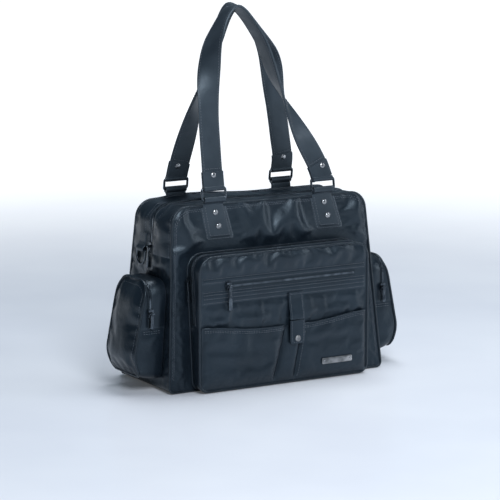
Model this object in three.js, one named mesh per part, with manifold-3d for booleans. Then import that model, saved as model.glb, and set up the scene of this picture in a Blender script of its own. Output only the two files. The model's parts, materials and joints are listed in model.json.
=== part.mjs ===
// Diaper bag: a soft, boxy shoulder bag with a zipped mouth, a zipped front pocket that carries a
// face zip, two slip pockets and a snap strap, a zipped pocket on each side, and two strap handles
// on metal rings.
//
// Millimetres, +Z up. The front faces -Y, +X is on the right of someone facing the front, and the
// origin is the middle of the underside of the base.

import * as THREE from 'three';
import { mergeVertices } from 'three/addons/utils/BufferGeometryUtils.js';
import Module from 'manifold-3d';

const wasm = await Module();
wasm.setup();

// ---------------------------------------------------------------- driving dimensions

const SKIN = 3;                     // padded wall of the body
const GAP = 0.4;                    // clearance between pieces that touch
const SEAM = 1;                     // clearance round the top flaps, which turn past the panels
const REACH = 400;                  // longer than anything, for cutting shapes
const OVERLAP = 0.5;                // how far two shapes that are joined run into each other
const MARGIN = 50;                  // how far a cutting shape runs past what it cuts
const MERGE = 1e-4;                 // corners closer than this are one corner

const BODY = { height: 290, baseHalf: 198, topHalf: 177, topRound: 28, baseRound: 10 };
const BODY_FRONT = { base: -81.5, top: -56 };
const BODY_BACK = { base: 81.5, top: 58.5 };
const MOUTH_HALF = 92;              // the top flaps run from -MOUTH_HALF to MOUTH_HALF
const ZIP_HALF = 4.5;               // half the width of a raised zip
const ZIP_RISE = 1.4;               // how far a zip stands above its tape
const MAIN_ZIP_END = 212;           // height where the mouth zip ends on each side
const MAIN_SLIDER = 222;
const BASE_SPLIT = 180;             // the base panel meets the side gussets this far from the middle
const SHOULDER = 200;               // above this height the gussets and flaps close the top
const BOARD = { thickness: 2.5, clear: 5 };
const LINING = { offset: SKIN + 2, thickness: 1.2, rim: 278 };

const POCKET = { half: 154, bottom: 3, top: 215, topRound: 24, baseRound: 14, face: -104, wall: 2.5 };
const POCKET_SPLIT = 5.5;           // the front pocket's zip starts this far out from the body
const POCKET_ZIP_END = 103;
const POCKET_SLIDER = 177;

const FACE_ZIP = { from: -109, to: 130, height: 168, half: 6, slider: -103 };
const SLIP = { bottom: 6, hem: 96, outer: 149, wall: 2, front: -110.8, round: 8 };
const SLIP_SLANT = { left: { foot: -22, hem: 1 }, right: { foot: 16, hem: 33 }, seam: 2.4 };
const STRAP = {
  left: 5, right: 32, thickness: 2.2, front: -113.4, top: 147, fold: 103.9, end: 64, round: 3,
};
// The sewn strap steps out over the hems between these heights above its fold.
const STRAP_STEP = { foot: 3, back: 7.5, top: 11, foldGap: 1.7 };
const SNAP = { radius: 6, rise: 2, aboveEnd: 9 };
const BADGE = { left: 65, right: 121, bottom: 25, top: 35, round: 2, thickness: 1.2 };

const SIDE = {
  front: -54, back: 38, bottom: 14, top: 176, topRound: 26, baseRound: 12, wall: 2.5, inner: 150,
};
const SIDE_OUTER = [[232, 26, 12], [248, 58, 20], [223, 176, 10]];
const SIDE_SLOPE = 0.29;            // rise of a side pocket's underside for each mm outward
const SIDE_SPLIT = 211;             // the side pocket's zip starts at this distance from the middle
const SIDE_ZIP_END = 101;
const SIDE_ZIP_WIDTH = 7;
const SIDE_SLIDER = 127;

const WIRE = 1.9;                   // radius of the handle rings' wire
const WIRE_CLEAR = 0.5;             // how much wider than the wire the hole round it is
const RING = { half: 21, rise: 17.5, round: 3 };
const HANDLE_PIVOT = { y: 61.5, z: 299 };
const HANDLE_LEAN = THREE.MathUtils.degToRad(8.4);
const HANDLE_WIDTH = 36;
const HANDLE_THICK = 4;
const HANDLE_LOOP = 4.6;            // radius of the strap where it wraps its ring
const HANDLE_RIVET = 21;            // height of the strap's rivet above its ring bar

const D_RING = { y: 26, z: 214, half: 13.5, drop: 10, wire: 1.6, round: 3, bow: 12.5 };
const D_TAB = { height: 26, thick: 2.4, loop: 4.2, clear: 0.8 };

const SLIDER = { half: 4.5, length: 6, base: 2.4, barHeight: 5.4, bar: 1, arch: 1.4 };
const PULL = { half: 2.6, start: 1.6, thick: 1.6, eye: 2.6, flare: 0.3, round: 2 };
const PULL_LENGTH = { main: 34, face: 38, pocket: 34, side: 24 };

const ARC_STEPS = 5;                // segments in each rounded corner
const ROUND_SIDES = 12;             // sides of rods, rivets and holes
const WIRE_SIDES = 8;

// ---------------------------------------------------------------- materials

const leather = new THREE.MeshStandardMaterial({ color: 0x16191f, roughness: 0.45, metalness: 0 });
const lining = new THREE.MeshStandardMaterial({ color: 0x3a3d45, roughness: 0.9, metalness: 0 });
const zipTape = new THREE.MeshStandardMaterial({ color: 0x0c0d10, roughness: 0.8, metalness: 0 });
const gunmetal = new THREE.MeshStandardMaterial({ color: 0x2b2c30, roughness: 0.3, metalness: 1 });
const nickel = new THREE.MeshStandardMaterial({ color: 0xb9bbc0, roughness: 0.25, metalness: 1 });
const board = new THREE.MeshStandardMaterial({ color: 0x1b1b1d, roughness: 0.7, metalness: 0 });

const bag = new THREE.Group();

function addPiece(name, solid, material) {
  const mesh = new THREE.Mesh(toGeometry(solid), material);
  mesh.name = name;
  bag.add(mesh);
}

// ---------------------------------------------------------------- shapes and solids

function toSolid(geometry) {
  const bare = geometry.clone();
  bare.deleteAttribute('normal');
  bare.deleteAttribute('uv');
  const merged = mergeVertices(bare, MERGE);
  const vertProperties = new Float32Array(merged.attributes.position.array);
  const triVerts = new Uint32Array(merged.index.array);
  return new wasm.Manifold(new wasm.Mesh({ numProp: 3, vertProperties, triVerts }));
}

function toGeometry(solid) {
  const mesh = solid.getMesh();
  const geometry = new THREE.BufferGeometry();
  geometry.setAttribute('position', new THREE.BufferAttribute(mesh.vertProperties, 3));
  geometry.setIndex(new THREE.BufferAttribute(mesh.triVerts, 1));
  geometry.computeVertexNormals();
  return geometry;
}

// A closed outline through corners [x, y] or [x, y, radius], with an arc at each rounded corner.
function outline(corners) {
  const points = [];
  corners.forEach(([x, y, radius = 0], i) => {
    const here = new THREE.Vector2(x, y);
    if (radius === 0) {
      points.push(here);
      return;
    }
    const count = corners.length;
    const towards = (other) => new THREE.Vector2(other[0], other[1]).sub(here).normalize();
    const before = towards(corners[(i + count - 1) % count]);
    const after = towards(corners[(i + 1) % count]);
    const half = Math.acos(before.dot(after)) / 2;
    const inward = before.clone().add(after).normalize();
    const centre = here.clone().addScaledVector(inward, radius / Math.sin(half));
    const start = here.clone().addScaledVector(before, radius / Math.tan(half)).sub(centre).angle();
    const end = here.clone().addScaledVector(after, radius / Math.tan(half)).sub(centre).angle();
    const turn = Math.atan2(Math.sin(end - start), Math.cos(end - start));
    for (let step = 0; step <= ARC_STEPS; step += 1) {
      const angle = start + turn * step / ARC_STEPS;
      points.push(new THREE.Vector2(Math.cos(angle), Math.sin(angle)).multiplyScalar(radius).add(centre));
    }
  });
  return new THREE.Shape(points);
}

const AXIS = {
  x: new THREE.Vector3(1, 0, 0),
  y: new THREE.Vector3(0, 1, 0),
  z: new THREE.Vector3(0, 0, 1),
};
const TOWARDS_FRONT = new THREE.Vector3(0, -1, 0);

function prism(shape, depth, first, second, along, start) {
  const geometry = new THREE.ExtrudeGeometry(shape, { depth, bevelEnabled: false });
  geometry.applyMatrix4(new THREE.Matrix4().makeBasis(first, second, along));
  geometry.translate(start.x, start.y, start.z);
  return geometry;
}

// An outline drawn in X and Z, as a prism from y0 to y1.
function alongY(shape, y0, y1) {
  return prism(shape, y1 - y0, AXIS.x, AXIS.z, AXIS.y.clone().negate(), new THREE.Vector3(0, y1, 0));
}

// An outline drawn in Y and Z, as a prism from x0 to x1.
function alongX(shape, x0, x1) {
  return prism(shape, x1 - x0, AXIS.y, AXIS.z, AXIS.x, new THREE.Vector3(x0, 0, 0));
}

function block([x0, x1], [y0, y1], [z0, z1]) {
  const geometry = new THREE.BoxGeometry(x1 - x0, y1 - y0, z1 - z0);
  return geometry.translate((x0 + x1) / 2, (y0 + y1) / 2, (z0 + z1) / 2);
}

function rodX(radius, x0, x1, y, z) {
  const geometry = new THREE.CylinderGeometry(radius, radius, x1 - x0, ROUND_SIDES);
  return geometry.rotateZ(Math.PI / 2).translate((x0 + x1) / 2, y, z);
}

function rodY(radius, x, y0, y1, z) {
  const geometry = new THREE.CylinderGeometry(radius, radius, y1 - y0, ROUND_SIDES);
  return geometry.translate(x, (y0 + y1) / 2, z);
}

// A domed head's outline, as shares of its radius and of its rise.
const DOME = [[0, 0], [1, 0], [0.85, 0.55], [0.45, 1], [0, 1]];

// A rivet's domed head: its flat side at y0, its crown at y1.
function domeY(radius, x, y0, y1, z) {
  const rise = Math.abs(y1 - y0);
  const profile = DOME.map(([r, h]) => new THREE.Vector2(r * radius, h * rise));
  const geometry = new THREE.LatheGeometry(profile, ROUND_SIDES);
  if (y1 < y0) {
    geometry.rotateX(Math.PI);
  }
  return geometry.translate(x, y0, z);
}

// A skin through a row of equal sections. Its ends are capped, or joined when it is closed.
function loft(sections, closed = false) {
  const sides = sections[0].length;
  const positions = sections.flat().flatMap((point) => point.toArray());
  const index = [];
  const rows = closed ? sections.length : sections.length - 1;
  for (let row = 0; row < rows; row += 1) {
    const next = (row + 1) % sections.length;
    for (let side = 0; side < sides; side += 1) {
      const beside = (side + 1) % sides;
      const [a, b] = [row * sides + side, row * sides + beside];
      const [c, d] = [next * sides + side, next * sides + beside];
      index.push(a, c, b, b, c, d);
    }
  }
  const last = (sections.length - 1) * sides;
  for (let side = 1; !closed && side < sides - 1; side += 1) {
    index.push(0, side, side + 1, last, last + side + 1, last + side);
  }
  const geometry = new THREE.BufferGeometry();
  geometry.setAttribute('position', new THREE.Float32BufferAttribute(positions, 3));
  geometry.setIndex(index);
  return geometry;
}

// Round wire bent along a closed path that lies in the local XZ plane.
function wireLoop(corners, radius) {
  const path = outline(corners).getPoints();
  const sections = path.map((point, i) => {
    const before = path[(i + path.length - 1) % path.length];
    const after = path[(i + 1) % path.length];
    const along = after.clone().sub(before).normalize();
    const side = new THREE.Vector3(along.y, 0, -along.x);
    return Array.from({ length: WIRE_SIDES }, (_, k) => {
      const angle = 2 * Math.PI * k / WIRE_SIDES;
      return new THREE.Vector3(point.x, 0, point.y)
        .addScaledVector(side, radius * Math.cos(angle))
        .addScaledVector(AXIS.y, -radius * Math.sin(angle));
    });
  });
  return loft(sections, true);
}

function union(...geometries) {
  return geometries.map(toSolid).reduce((whole, solid) => whole.add(solid));
}

// A local frame on a surface: local X runs across it, local -Y points out of it, local Z is up it.
function surfaceFrame(origin, across, out) {
  const inward = out.clone().normalize().negate();
  const up = new THREE.Vector3().crossVectors(across, inward).normalize();
  return new THREE.Matrix4().makeBasis(across.clone().normalize(), inward, up).setPosition(origin);
}

// ---------------------------------------------------------------- the body's slanted faces

const mix = (a, b, t) => a + (b - a) * t;
const frontY = (z) => mix(BODY_FRONT.base, BODY_FRONT.top, z / BODY.height);
const backY = (z) => mix(BODY_BACK.base, BODY_BACK.top, z / BODY.height);
const sideX = (z) => mix(BODY.baseHalf, BODY.topHalf, z / BODY.height);

function bodyOutline(inset) {
  const round = Math.max(BODY.baseRound - inset, 1);
  return outline([
    [-(BODY.baseHalf - inset), inset, round],
    [BODY.baseHalf - inset, inset, round],
    [BODY.topHalf - inset, BODY.height - inset, BODY.topRound - inset],
    [-(BODY.topHalf - inset), BODY.height - inset, BODY.topRound - inset],
  ]);
}

const bodyBlock = (inset) => toSolid(alongY(bodyOutline(inset), -REACH, REACH));

// Everything between two surfaces, each given as Y for a height.
function between(near, far) {
  const [low, high] = [-MARGIN, BODY.height + MARGIN];
  const shape = outline([[near(low), low], [far(low), low], [far(high), high], [near(high), high]]);
  return toSolid(alongX(shape, -REACH, REACH));
}

const offsetFrom = (surface, offset) => (z) => surface(z) + offset;

function bodyInside(inset) {
  return between(offsetFrom(frontY, inset), offsetFrom(backY, -inset));
}

const slab = (xs, ys, zs) => toSolid(block(xs, ys, zs));
const EVERYWHERE = [-REACH, REACH];

// ---------------------------------------------------------------- body panels

const rimOfBody = bodyBlock(0).subtract(bodyBlock(SKIN)).intersect(bodyInside(SKIN + SEAM));

function panel(near, far) {
  return bodyBlock(0).intersect(between(near, far));
}

function sideGusset(sign) {
  const wall = slab([BASE_SPLIT + GAP, REACH], EVERYWHERE, EVERYWHERE);
  const shoulder = slab([MOUTH_HALF + GAP, BASE_SPLIT + GAP + OVERLAP], EVERYWHERE, [SHOULDER, REACH]);
  const half = wall.add(shoulder);
  return rimOfBody.intersect(sign > 0 ? half : half.mirror([1, 0, 0]));
}

// The flap's raised inner edge is its half of the mouth zip.
function mouthPanel(sign) {
  const ys = sign > 0 ? [GAP, REACH] : [-REACH, -GAP];
  const flap = rimOfBody.intersect(slab([-MOUTH_HALF, MOUTH_HALF], ys, [SHOULDER, REACH]));
  const zipYs = sign > 0 ? [GAP, ZIP_HALF] : [-ZIP_HALF, -GAP];
  const zip = slab([-MOUTH_HALF, MOUTH_HALF], zipYs, [BODY.height - OVERLAP, BODY.height + ZIP_RISE]);
  return flap.add(zip);
}

// The ends of the mouth zip lie on the shoulders and run down the side gussets.
function mainZipEnd(sign) {
  const raised = bodyBlock(-ZIP_RISE).subtract(bodyBlock(-GAP));
  const xs = [MOUTH_HALF + GAP, REACH];
  const half = slab(xs, [-ZIP_HALF, ZIP_HALF], [MAIN_ZIP_END, REACH]);
  return raised.intersect(sign > 0 ? half : half.mirror([1, 0, 0]));
}

function basePanel() {
  return rimOfBody.intersect(slab([-BASE_SPLIT, BASE_SPLIT], EVERYWHERE, [-REACH, BODY.height / 2]));
}

function baseBoard() {
  const bottom = SKIN + GAP;
  const halfY = -frontY(bottom) - SKIN - BOARD.clear;
  const halfX = sideX(bottom) - SKIN - BOARD.clear * 2;
  return slab([-halfX, halfX], [-halfY, halfY], [bottom, bottom + BOARD.thickness]);
}

function liningTub() {
  const bottom = SKIN + GAP + BOARD.thickness + GAP;
  const outer = bodyBlock(LINING.offset).intersect(bodyInside(LINING.offset))
    .intersect(slab(EVERYWHERE, EVERYWHERE, [bottom, LINING.rim]));
  const inset = LINING.offset + LINING.thickness;
  const inner = bodyBlock(inset).intersect(bodyInside(inset))
    .intersect(slab(EVERYWHERE, EVERYWHERE, [bottom + LINING.thickness, REACH]));
  return outer.subtract(inner);
}

// ---------------------------------------------------------------- anchor tabs and their rivets

const TAB = { half: 18.4, endHalf: 21, length: 52, patch: 4, layer: 1.2, thick: 3, round: 4, loop: 5.2 };
const TAB_RIVETS = [-12, -34];      // heights of the rivets below the bag's top edge
const RIVET = {
  head: 4.6, rise: 2, shank: 1.7, hole: 2.1, backing: 1.2, washer: 6.5, bridge: 5, peened: 1,
};
const HOLE_REACH = 20;              // how far a rivet's hole is cut each way
const RING_SPOTS = [
  { name: 'front_left', x: -104, slant: 0.2, back: false },
  { name: 'front_right', x: 96, slant: 0.24, back: false },
  { name: 'back_left', x: -106, slant: 0, back: true },
  { name: 'back_right', x: 90, slant: 0, back: true },
];

// The frame of a ring's anchor: its origin is on the top edge of the front or back panel.
function anchorFrame(spot) {
  const surface = spot.back ? backY : frontY;
  const rise = (surface(BODY.height) - surface(0)) / BODY.height;
  const across = spot.back ? AXIS.x.clone().negate() : AXIS.x;
  const out = spot.back ? new THREE.Vector3(0, 1, -rise) : new THREE.Vector3(0, -1, rise);
  return surfaceFrame(new THREE.Vector3(spot.x, surface(BODY.height), BODY.height), across, out);
}

function pivotInAnchor(spot) {
  const y = spot.back ? HANDLE_PIVOT.y : -HANDLE_PIVOT.y;
  return new THREE.Vector3(spot.x, y, HANDLE_PIVOT.z).applyMatrix4(anchorFrame(spot).invert());
}

const slantAt = (spot, z) => -spot.slant * z;

function tabShape(spot, top, grow) {
  const end = -TAB.length - grow;
  const lean = slantAt(spot, end);
  const startLean = slantAt(spot, Math.min(top, 0));
  return outline([
    [startLean - TAB.half - grow, top],
    [lean - TAB.endHalf - grow, end, TAB.round],
    [lean + TAB.endHalf + grow, end, TAB.round],
    [startLean + TAB.half + grow, top],
  ]);
}

function anchorTab(spot) {
  const pivot = pivotInAnchor(spot);
  const strap = alongY(tabShape(spot, pivot.z, 0), -TAB.thick, -GAP);
  const patch = alongY(tabShape(spot, -TAB.patch, TAB.patch), -GAP - TAB.layer, -GAP);
  const loop = rodX(TAB.loop, -TAB.half, TAB.half, pivot.y, pivot.z);
  const hole = rodX(WIRE + WIRE_CLEAR, -REACH, REACH, pivot.y, pivot.z);
  let tab = union(strap, patch, loop).subtract(toSolid(hole));
  for (const z of TAB_RIVETS) {
    tab = tab.subtract(toSolid(rodY(RIVET.hole, slantAt(spot, z), -HOLE_REACH, HOLE_REACH, z)));
  }
  return tab;
}

function anchorRivets(spot) {
  const inside = SKIN + GAP;
  const washers = TAB_RIVETS.map((z) => (
    rodY(RIVET.washer, slantAt(spot, z), inside, inside + RIVET.backing, z)));
  const middle = (TAB_RIVETS[0] + TAB_RIVETS[1]) / 2;
  const x = slantAt(spot, middle);
  const xs = [x - RIVET.bridge, x + RIVET.bridge];
  const bridge = block(xs, [inside, inside + RIVET.backing], [TAB_RIVETS[1], TAB_RIVETS[0]]);
  const heads = TAB_RIVETS.flatMap((z) => [
    rodY(RIVET.shank, slantAt(spot, z), -TAB.thick - GAP - OVERLAP, inside + OVERLAP, z),
    domeY(RIVET.head, slantAt(spot, z), -TAB.thick - GAP, -TAB.thick - GAP - RIVET.rise, z),
  ]);
  return union(...washers, bridge, ...heads);
}

function rivetHoles(spots) {
  const holes = spots.flatMap((spot) => TAB_RIVETS.map((z) => (
    rodY(RIVET.hole, slantAt(spot, z), -HOLE_REACH, HOLE_REACH, z).applyMatrix4(anchorFrame(spot)))));
  return union(...holes);
}

function placeSolid(solid, matrix) {
  return toSolid(toGeometry(solid).applyMatrix4(matrix));
}

// ---------------------------------------------------------------- handles

// Each handle is drawn in its own plane: across the bag, and up from the pivot of its rings. The
// plane leans in until the two handles meet above the bag.
const HANDLE_PATHS = {
  front: [[-104, RING.rise], [-104, 55], [-102.5, 138], [-96, 202], [-80, 256], [-44, 299],
    [-3, 251], [23, 178], [56, 105], [88, 42], [96, RING.rise]],
  back: [[-106, RING.rise], [-102, 42], [-89, 97], [-72, 169], [-55, 226], [-24, 297],
    [44, 223], [66, 144], [82, 75], [90, 38], [90, RING.rise]],
};
// How far along the strap, from each of its ends, it starts and stops turning from flat to edge-on.
const TWISTS = {
  front: [{ start: 0.18, stop: 0.46 }, { start: 0.06, stop: 0.34 }],
  back: [{ start: 0.06, stop: 0.4 }, { start: 0.18, stop: 0.46 }],
};
const STRAP_STEPS = 56;

function handleFrame(side) {
  const back = side === 'back';
  const y = back ? HANDLE_PIVOT.y : -HANDLE_PIVOT.y;
  const lean = back ? -HANDLE_LEAN : HANDLE_LEAN;
  const out = new THREE.Vector3(0, (back ? 1 : -1) * Math.cos(lean), Math.sin(HANDLE_LEAN));
  const across = back ? AXIS.x.clone().negate() : AXIS.x;
  return surfaceFrame(new THREE.Vector3(0, y, HANDLE_PIVOT.z), across, out);
}

// The back handle's frame looks from behind, so its path is turned left for right.
function handleCurve(side) {
  const sign = side === 'back' ? -1 : 1;
  const points = HANDLE_PATHS[side].map(([x, up]) => new THREE.Vector3(sign * x, 0, up));
  return new THREE.CatmullRomCurve3(points, false, 'centripetal');
}

function strapSection(curve, t, side) {
  const turnSign = side === 'back' ? -1 : 1;
  const centre = curve.getPointAt(t);
  const along = curve.getTangentAt(t);
  const twist = TWISTS[side][t < 0.5 ? 0 : 1];
  const flat = 1 - THREE.MathUtils.smoothstep(Math.min(t, 1 - t), twist.start, twist.stop);
  const angle = flat * Math.PI / 2;
  const outward = new THREE.Vector3(-along.z, 0, along.x).multiplyScalar(turnSign * Math.cos(angle));
  outward.addScaledVector(AXIS.y, -Math.sin(angle));
  const across = new THREE.Vector3().crossVectors(along, outward).normalize();
  const corners = [[-1, -1], [1, -1], [1, 1], [-1, 1]];
  return corners.map(([u, v]) => centre.clone()
    .addScaledVector(across, u * HANDLE_WIDTH / 2)
    .addScaledVector(outward, v * HANDLE_THICK / 2));
}

function handleStrap(side) {
  const curve = handleCurve(side);
  const sections = [];
  for (let step = 0; step <= STRAP_STEPS; step += 1) {
    sections.push(strapSection(curve, step / STRAP_STEPS, side));
  }
  let strap = toSolid(loft(sections));
  for (const x of ringCentres(side)) {
    const loop = rodX(HANDLE_LOOP, x - HANDLE_WIDTH / 2, x + HANDLE_WIDTH / 2, 0, RING.rise);
    strap = strap.add(toSolid(loop));
  }
  for (const x of ringCentres(side)) {
    const hole = rodX(WIRE + WIRE_CLEAR, x - HANDLE_WIDTH, x + HANDLE_WIDTH, 0, RING.rise);
    const rivetHole = rodY(RIVET.hole, x, -HOLE_REACH, HOLE_REACH, RING.rise + HANDLE_RIVET);
    strap = strap.subtract(toSolid(hole)).subtract(toSolid(rivetHole));
  }
  return strap;
}

function ringCentres(side) {
  const sign = side === 'back' ? -1 : 1;
  const path = HANDLE_PATHS[side];
  return [sign * path[0][0], sign * path[path.length - 1][0]];
}

function handleRing(x) {
  const corners = [
    [x - RING.half, 0, RING.round],
    [x + RING.half, 0, RING.round],
    [x + RING.half, RING.rise, RING.round],
    [x - RING.half, RING.rise, RING.round],
  ];
  return toSolid(wireLoop(corners, WIRE));
}

function handleRivet(x) {
  const face = HANDLE_THICK / 2 + GAP;
  const z = RING.rise + HANDLE_RIVET;
  return union(
    rodY(RIVET.shank, x, -face - OVERLAP, face + OVERLAP, z),
    domeY(RIVET.head, x, -face, -face - RIVET.rise, z),
    domeY(RIVET.head, x, face, face + RIVET.peened, z),
  );
}

// ---------------------------------------------------------------- zip sliders and pulls

// A slider on a local surface frame, with an arch for the pull to hang from.
function slider() {
  const { half, length, base, barHeight, bar, arch } = SLIDER;
  return union(
    block([-half, half], [-GAP - base, -GAP], [-length, length]),
    block([-half, -half + arch], [-barHeight - bar, -base], [-bar, bar]),
    block([half - arch, half], [-barHeight - bar, -base], [-bar, bar]),
    rodX(bar, -half + arch / 2, half - arch / 2, -barHeight, 0),
  );
}

function pull(length) {
  const { half, start, thick, eye, flare, round } = PULL;
  const y = -SLIDER.barHeight;
  const plate = alongY(outline([
    [-half, -start], [-half - flare, -length, round], [half + flare, -length, round], [half, -start],
  ]), y - thick / 2, y + thick / 2);
  const hole = rodX(SLIDER.bar + GAP, -REACH, REACH, y, 0);
  return union(plate, rodX(eye, -half, half, y, 0)).subtract(toSolid(hole));
}

function addSlider(name, frame, pullLength) {
  addPiece(`${name}_slider`, placeSolid(slider(), frame), gunmetal);
  addPiece(`${name}_pull`, placeSolid(pull(pullLength), frame), gunmetal);
}

// ---------------------------------------------------------------- front pocket

function pocketOutline(inset) {
  const { half, bottom, top, topRound, baseRound } = POCKET;
  return outline([
    [-half + inset, bottom + inset, baseRound - inset],
    [half - inset, bottom + inset, baseRound - inset],
    [half - inset, top - inset, topRound - inset],
    [-half + inset, top - inset, topRound - inset],
  ]);
}

const pocketBlock = (inset) => toSolid(alongY(pocketOutline(inset), -REACH, REACH));
const pocketRim = pocketBlock(0).subtract(pocketBlock(POCKET.wall));
const pocketFaceBack = () => POCKET.face + POCKET.wall + GAP;

function pocketZip() {
  const near = offsetFrom(frontY, -POCKET_SPLIT - 2 * ZIP_HALF);
  const far = offsetFrom(frontY, -POCKET_SPLIT - GAP);
  const raised = pocketBlock(-ZIP_RISE).subtract(pocketBlock(-GAP));
  const above = slab(EVERYWHERE, EVERYWHERE, [POCKET_ZIP_END, REACH]);
  return raised.intersect(between(near, far)).intersect(above);
}

function slipPocket(trayCorners, hollowCorners) {
  const tray = toSolid(alongY(outline(trayCorners), SLIP.front, POCKET.face - GAP));
  const hollow = alongY(outline(hollowCorners), SLIP.front + SLIP.wall, POCKET.face);
  return tray.subtract(toSolid(hollow));
}

// Each slip pocket's inner edge slants, so that the two of them open out towards the hems.
function addSlipPockets() {
  const { bottom, hem, outer, wall, round } = SLIP;
  const { left, right, seam } = SLIP_SLANT;
  const [floor, over, inner] = [bottom + wall, hem + MARGIN, outer - wall];
  const slope = (edge) => (edge.hem - edge.foot) / (hem - bottom);
  const at = (edge, z) => edge.foot + slope(edge) * (z - bottom);
  const leftTray = [[-outer, bottom, round], [left.foot, bottom], [left.hem, hem], [-outer, hem]];
  const leftHollow = [
    [-inner, floor, round - wall],
    [at(left, floor) - seam, floor],
    [at(left, over) - seam, over],
    [-inner, over],
  ];
  const rightTray = [[right.foot, bottom], [outer, bottom, round], [outer, hem], [right.hem, hem]];
  const rightHollow = [
    [at(right, floor) + seam, floor],
    [inner, floor, round - wall],
    [inner, over],
    [at(right, over) + seam, over],
  ];
  addPiece('slip_pocket_left', slipPocket(leftTray, leftHollow), leather);
  addPiece('slip_pocket_right', slipPocket(rightTray, rightHollow), leather);
}

// The sewn half of the snap strap lies on the face and steps out over the slip pockets' hems.
function centreStrap() {
  const { left, right, thickness, front, top, fold } = STRAP;
  const onFace = POCKET.face - GAP;
  const profile = outline([
    [onFace, top],
    [onFace - thickness, top],
    [onFace - thickness, fold + STRAP_STEP.top],
    [front, fold + STRAP_STEP.foot],
    [front, fold],
    [front + thickness, fold],
    [onFace, fold + STRAP_STEP.back],
  ]);
  return toSolid(alongX(profile, left, right));
}

function snapStrap() {
  const { left, right, thickness, front, fold, end, round } = STRAP;
  const top = fold - STRAP_STEP.foldGap;
  const shape = outline([[left, end, round], [right, end, round], [right, top], [left, top]]);
  return toSolid(alongY(shape, front, front + thickness));
}

function snapCap() {
  const middle = (STRAP.left + STRAP.right) / 2;
  const back = STRAP.front - GAP;
  return toSolid(domeY(SNAP.radius, middle, back, back - SNAP.rise, STRAP.end + SNAP.aboveEnd));
}

function badge() {
  const { left, right, bottom, top, round, thickness } = BADGE;
  const corners = [[left, bottom], [right, bottom], [right, top], [left, top]];
  const shape = outline(corners.map((corner) => [...corner, round]));
  return toSolid(alongY(shape, SLIP.front - GAP - thickness, SLIP.front - GAP));
}

function addFrontPocket() {
  const rear = between(offsetFrom(frontY, -POCKET_SPLIT), offsetFrom(frontY, -GAP));
  const front = between(pocketFaceBack, offsetFrom(frontY, -POCKET_SPLIT - GAP));
  const face = alongY(pocketOutline(0), POCKET.face, POCKET.face + POCKET.wall);
  const { from, to, height, half } = FACE_ZIP;
  const zs = [height - half, height + half];
  const zip = block([from, to], [POCKET.face - ZIP_RISE, POCKET.face - GAP], zs);
  addPiece('pocket_gusset_rear', pocketRim.intersect(rear), leather);
  addPiece('pocket_gusset_front', pocketRim.intersect(front), leather);
  addPiece('pocket_face', toSolid(face), leather);
  addPiece('pocket_zip', pocketZip(), zipTape);
  addPiece('face_zip', toSolid(zip), zipTape);
  addSlipPockets();
  addPiece('centre_strap', centreStrap(), leather);
  addPiece('snap_strap', snapStrap(), leather);
  addPiece('snap_cap', snapCap(), nickel);
  addPiece('badge', badge(), nickel);
}

// ---------------------------------------------------------------- side pockets

function sidePocketBlock(sign, inset, inner) {
  const { front, back, bottom, top, topRound, baseRound } = SIDE;
  const [base, belly, crown] = SIDE_OUTER;
  const profile = outline([
    [sign * inner, base[1] - SIDE_SLOPE * (base[0] - inner) + inset],
    [sign * (base[0] - inset), base[1] + inset, base[2]],
    [sign * (belly[0] - inset), belly[1], belly[2]],
    [sign * (crown[0] - inset), top - inset, crown[2]],
    [sign * inner, top - inset],
  ]);
  const around = outline([
    [front + inset, bottom + inset, baseRound - inset],
    [back - inset, bottom + inset, baseRound - inset],
    [back - inset, top - inset, topRound - inset],
    [front + inset, top - inset, topRound - inset],
  ]);
  return toSolid(alongY(profile, -REACH, REACH)).intersect(toSolid(alongX(around, -REACH, REACH)));
}

function addSidePocket(side, sign) {
  const range = (near, far) => (sign > 0 ? [near, far] : [-far, -near]);
  const [inner, beyond] = [SIDE.inner, SIDE.inner - MARGIN];
  const shell = sidePocketBlock(sign, 0, inner).subtract(sidePocketBlock(sign, SIDE.wall, beyond))
    .subtract(bodyBlock(-GAP));
  const raised = sidePocketBlock(sign, -ZIP_RISE, inner).subtract(sidePocketBlock(sign, -GAP, beyond));
  const zipRange = range(SIDE_SPLIT + 2 * GAP, SIDE_SPLIT + SIDE_ZIP_WIDTH);
  const zip = raised.intersect(slab(zipRange, EVERYWHERE, [SIDE_ZIP_END, REACH]));
  const rear = slab(range(0, SIDE_SPLIT), EVERYWHERE, EVERYWHERE);
  const front = slab(range(SIDE_SPLIT + GAP, REACH), EVERYWHERE, EVERYWHERE);
  addPiece(`side_pocket_gusset_${side}`, shell.intersect(rear), leather);
  addPiece(`side_pocket_face_${side}`, shell.intersect(front), leather);
  addPiece(`side_pocket_zip_${side}`, zip, zipTape);
  const place = new THREE.Vector3((zipRange[0] + zipRange[1]) / 2, SIDE.front - ZIP_RISE, SIDE_SLIDER);
  addSlider(`side_${side}_zip`, surfaceFrame(place, AXIS.x, TOWARDS_FRONT), PULL_LENGTH.side);
}

// ---------------------------------------------------------------- key rings on the side gussets

function sideFrame(sign, y, z, lift) {
  const rise = (BODY.baseHalf - BODY.topHalf) / BODY.height;
  const out = new THREE.Vector3(sign, 0, rise);
  const across = new THREE.Vector3(0, sign, 0);
  return surfaceFrame(new THREE.Vector3(sign * (sideX(z) + lift), y, z), across, out);
}

function dRingTab() {
  const half = D_RING.half - D_RING.wire - D_TAB.clear;
  const y = -GAP - D_TAB.loop;
  const loop = rodX(D_TAB.loop, -half, half, y, 0);
  const strap = block([-half, half], [-GAP - D_TAB.thick, -GAP], [0, D_TAB.height]);
  const hole = rodX(D_RING.wire + WIRE_CLEAR, -REACH, REACH, y, 0);
  return union(strap, loop).subtract(toSolid(hole));
}

function dRing() {
  const { half, drop, wire, round, bow } = D_RING;
  const loop = wireLoop([
    [-half, 0, round],
    [-half, -drop - half, bow],
    [half, -drop - half, bow],
    [half, 0, round],
  ], wire);
  return toSolid(loop.translate(0, -GAP - D_TAB.loop, 0));
}

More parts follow.
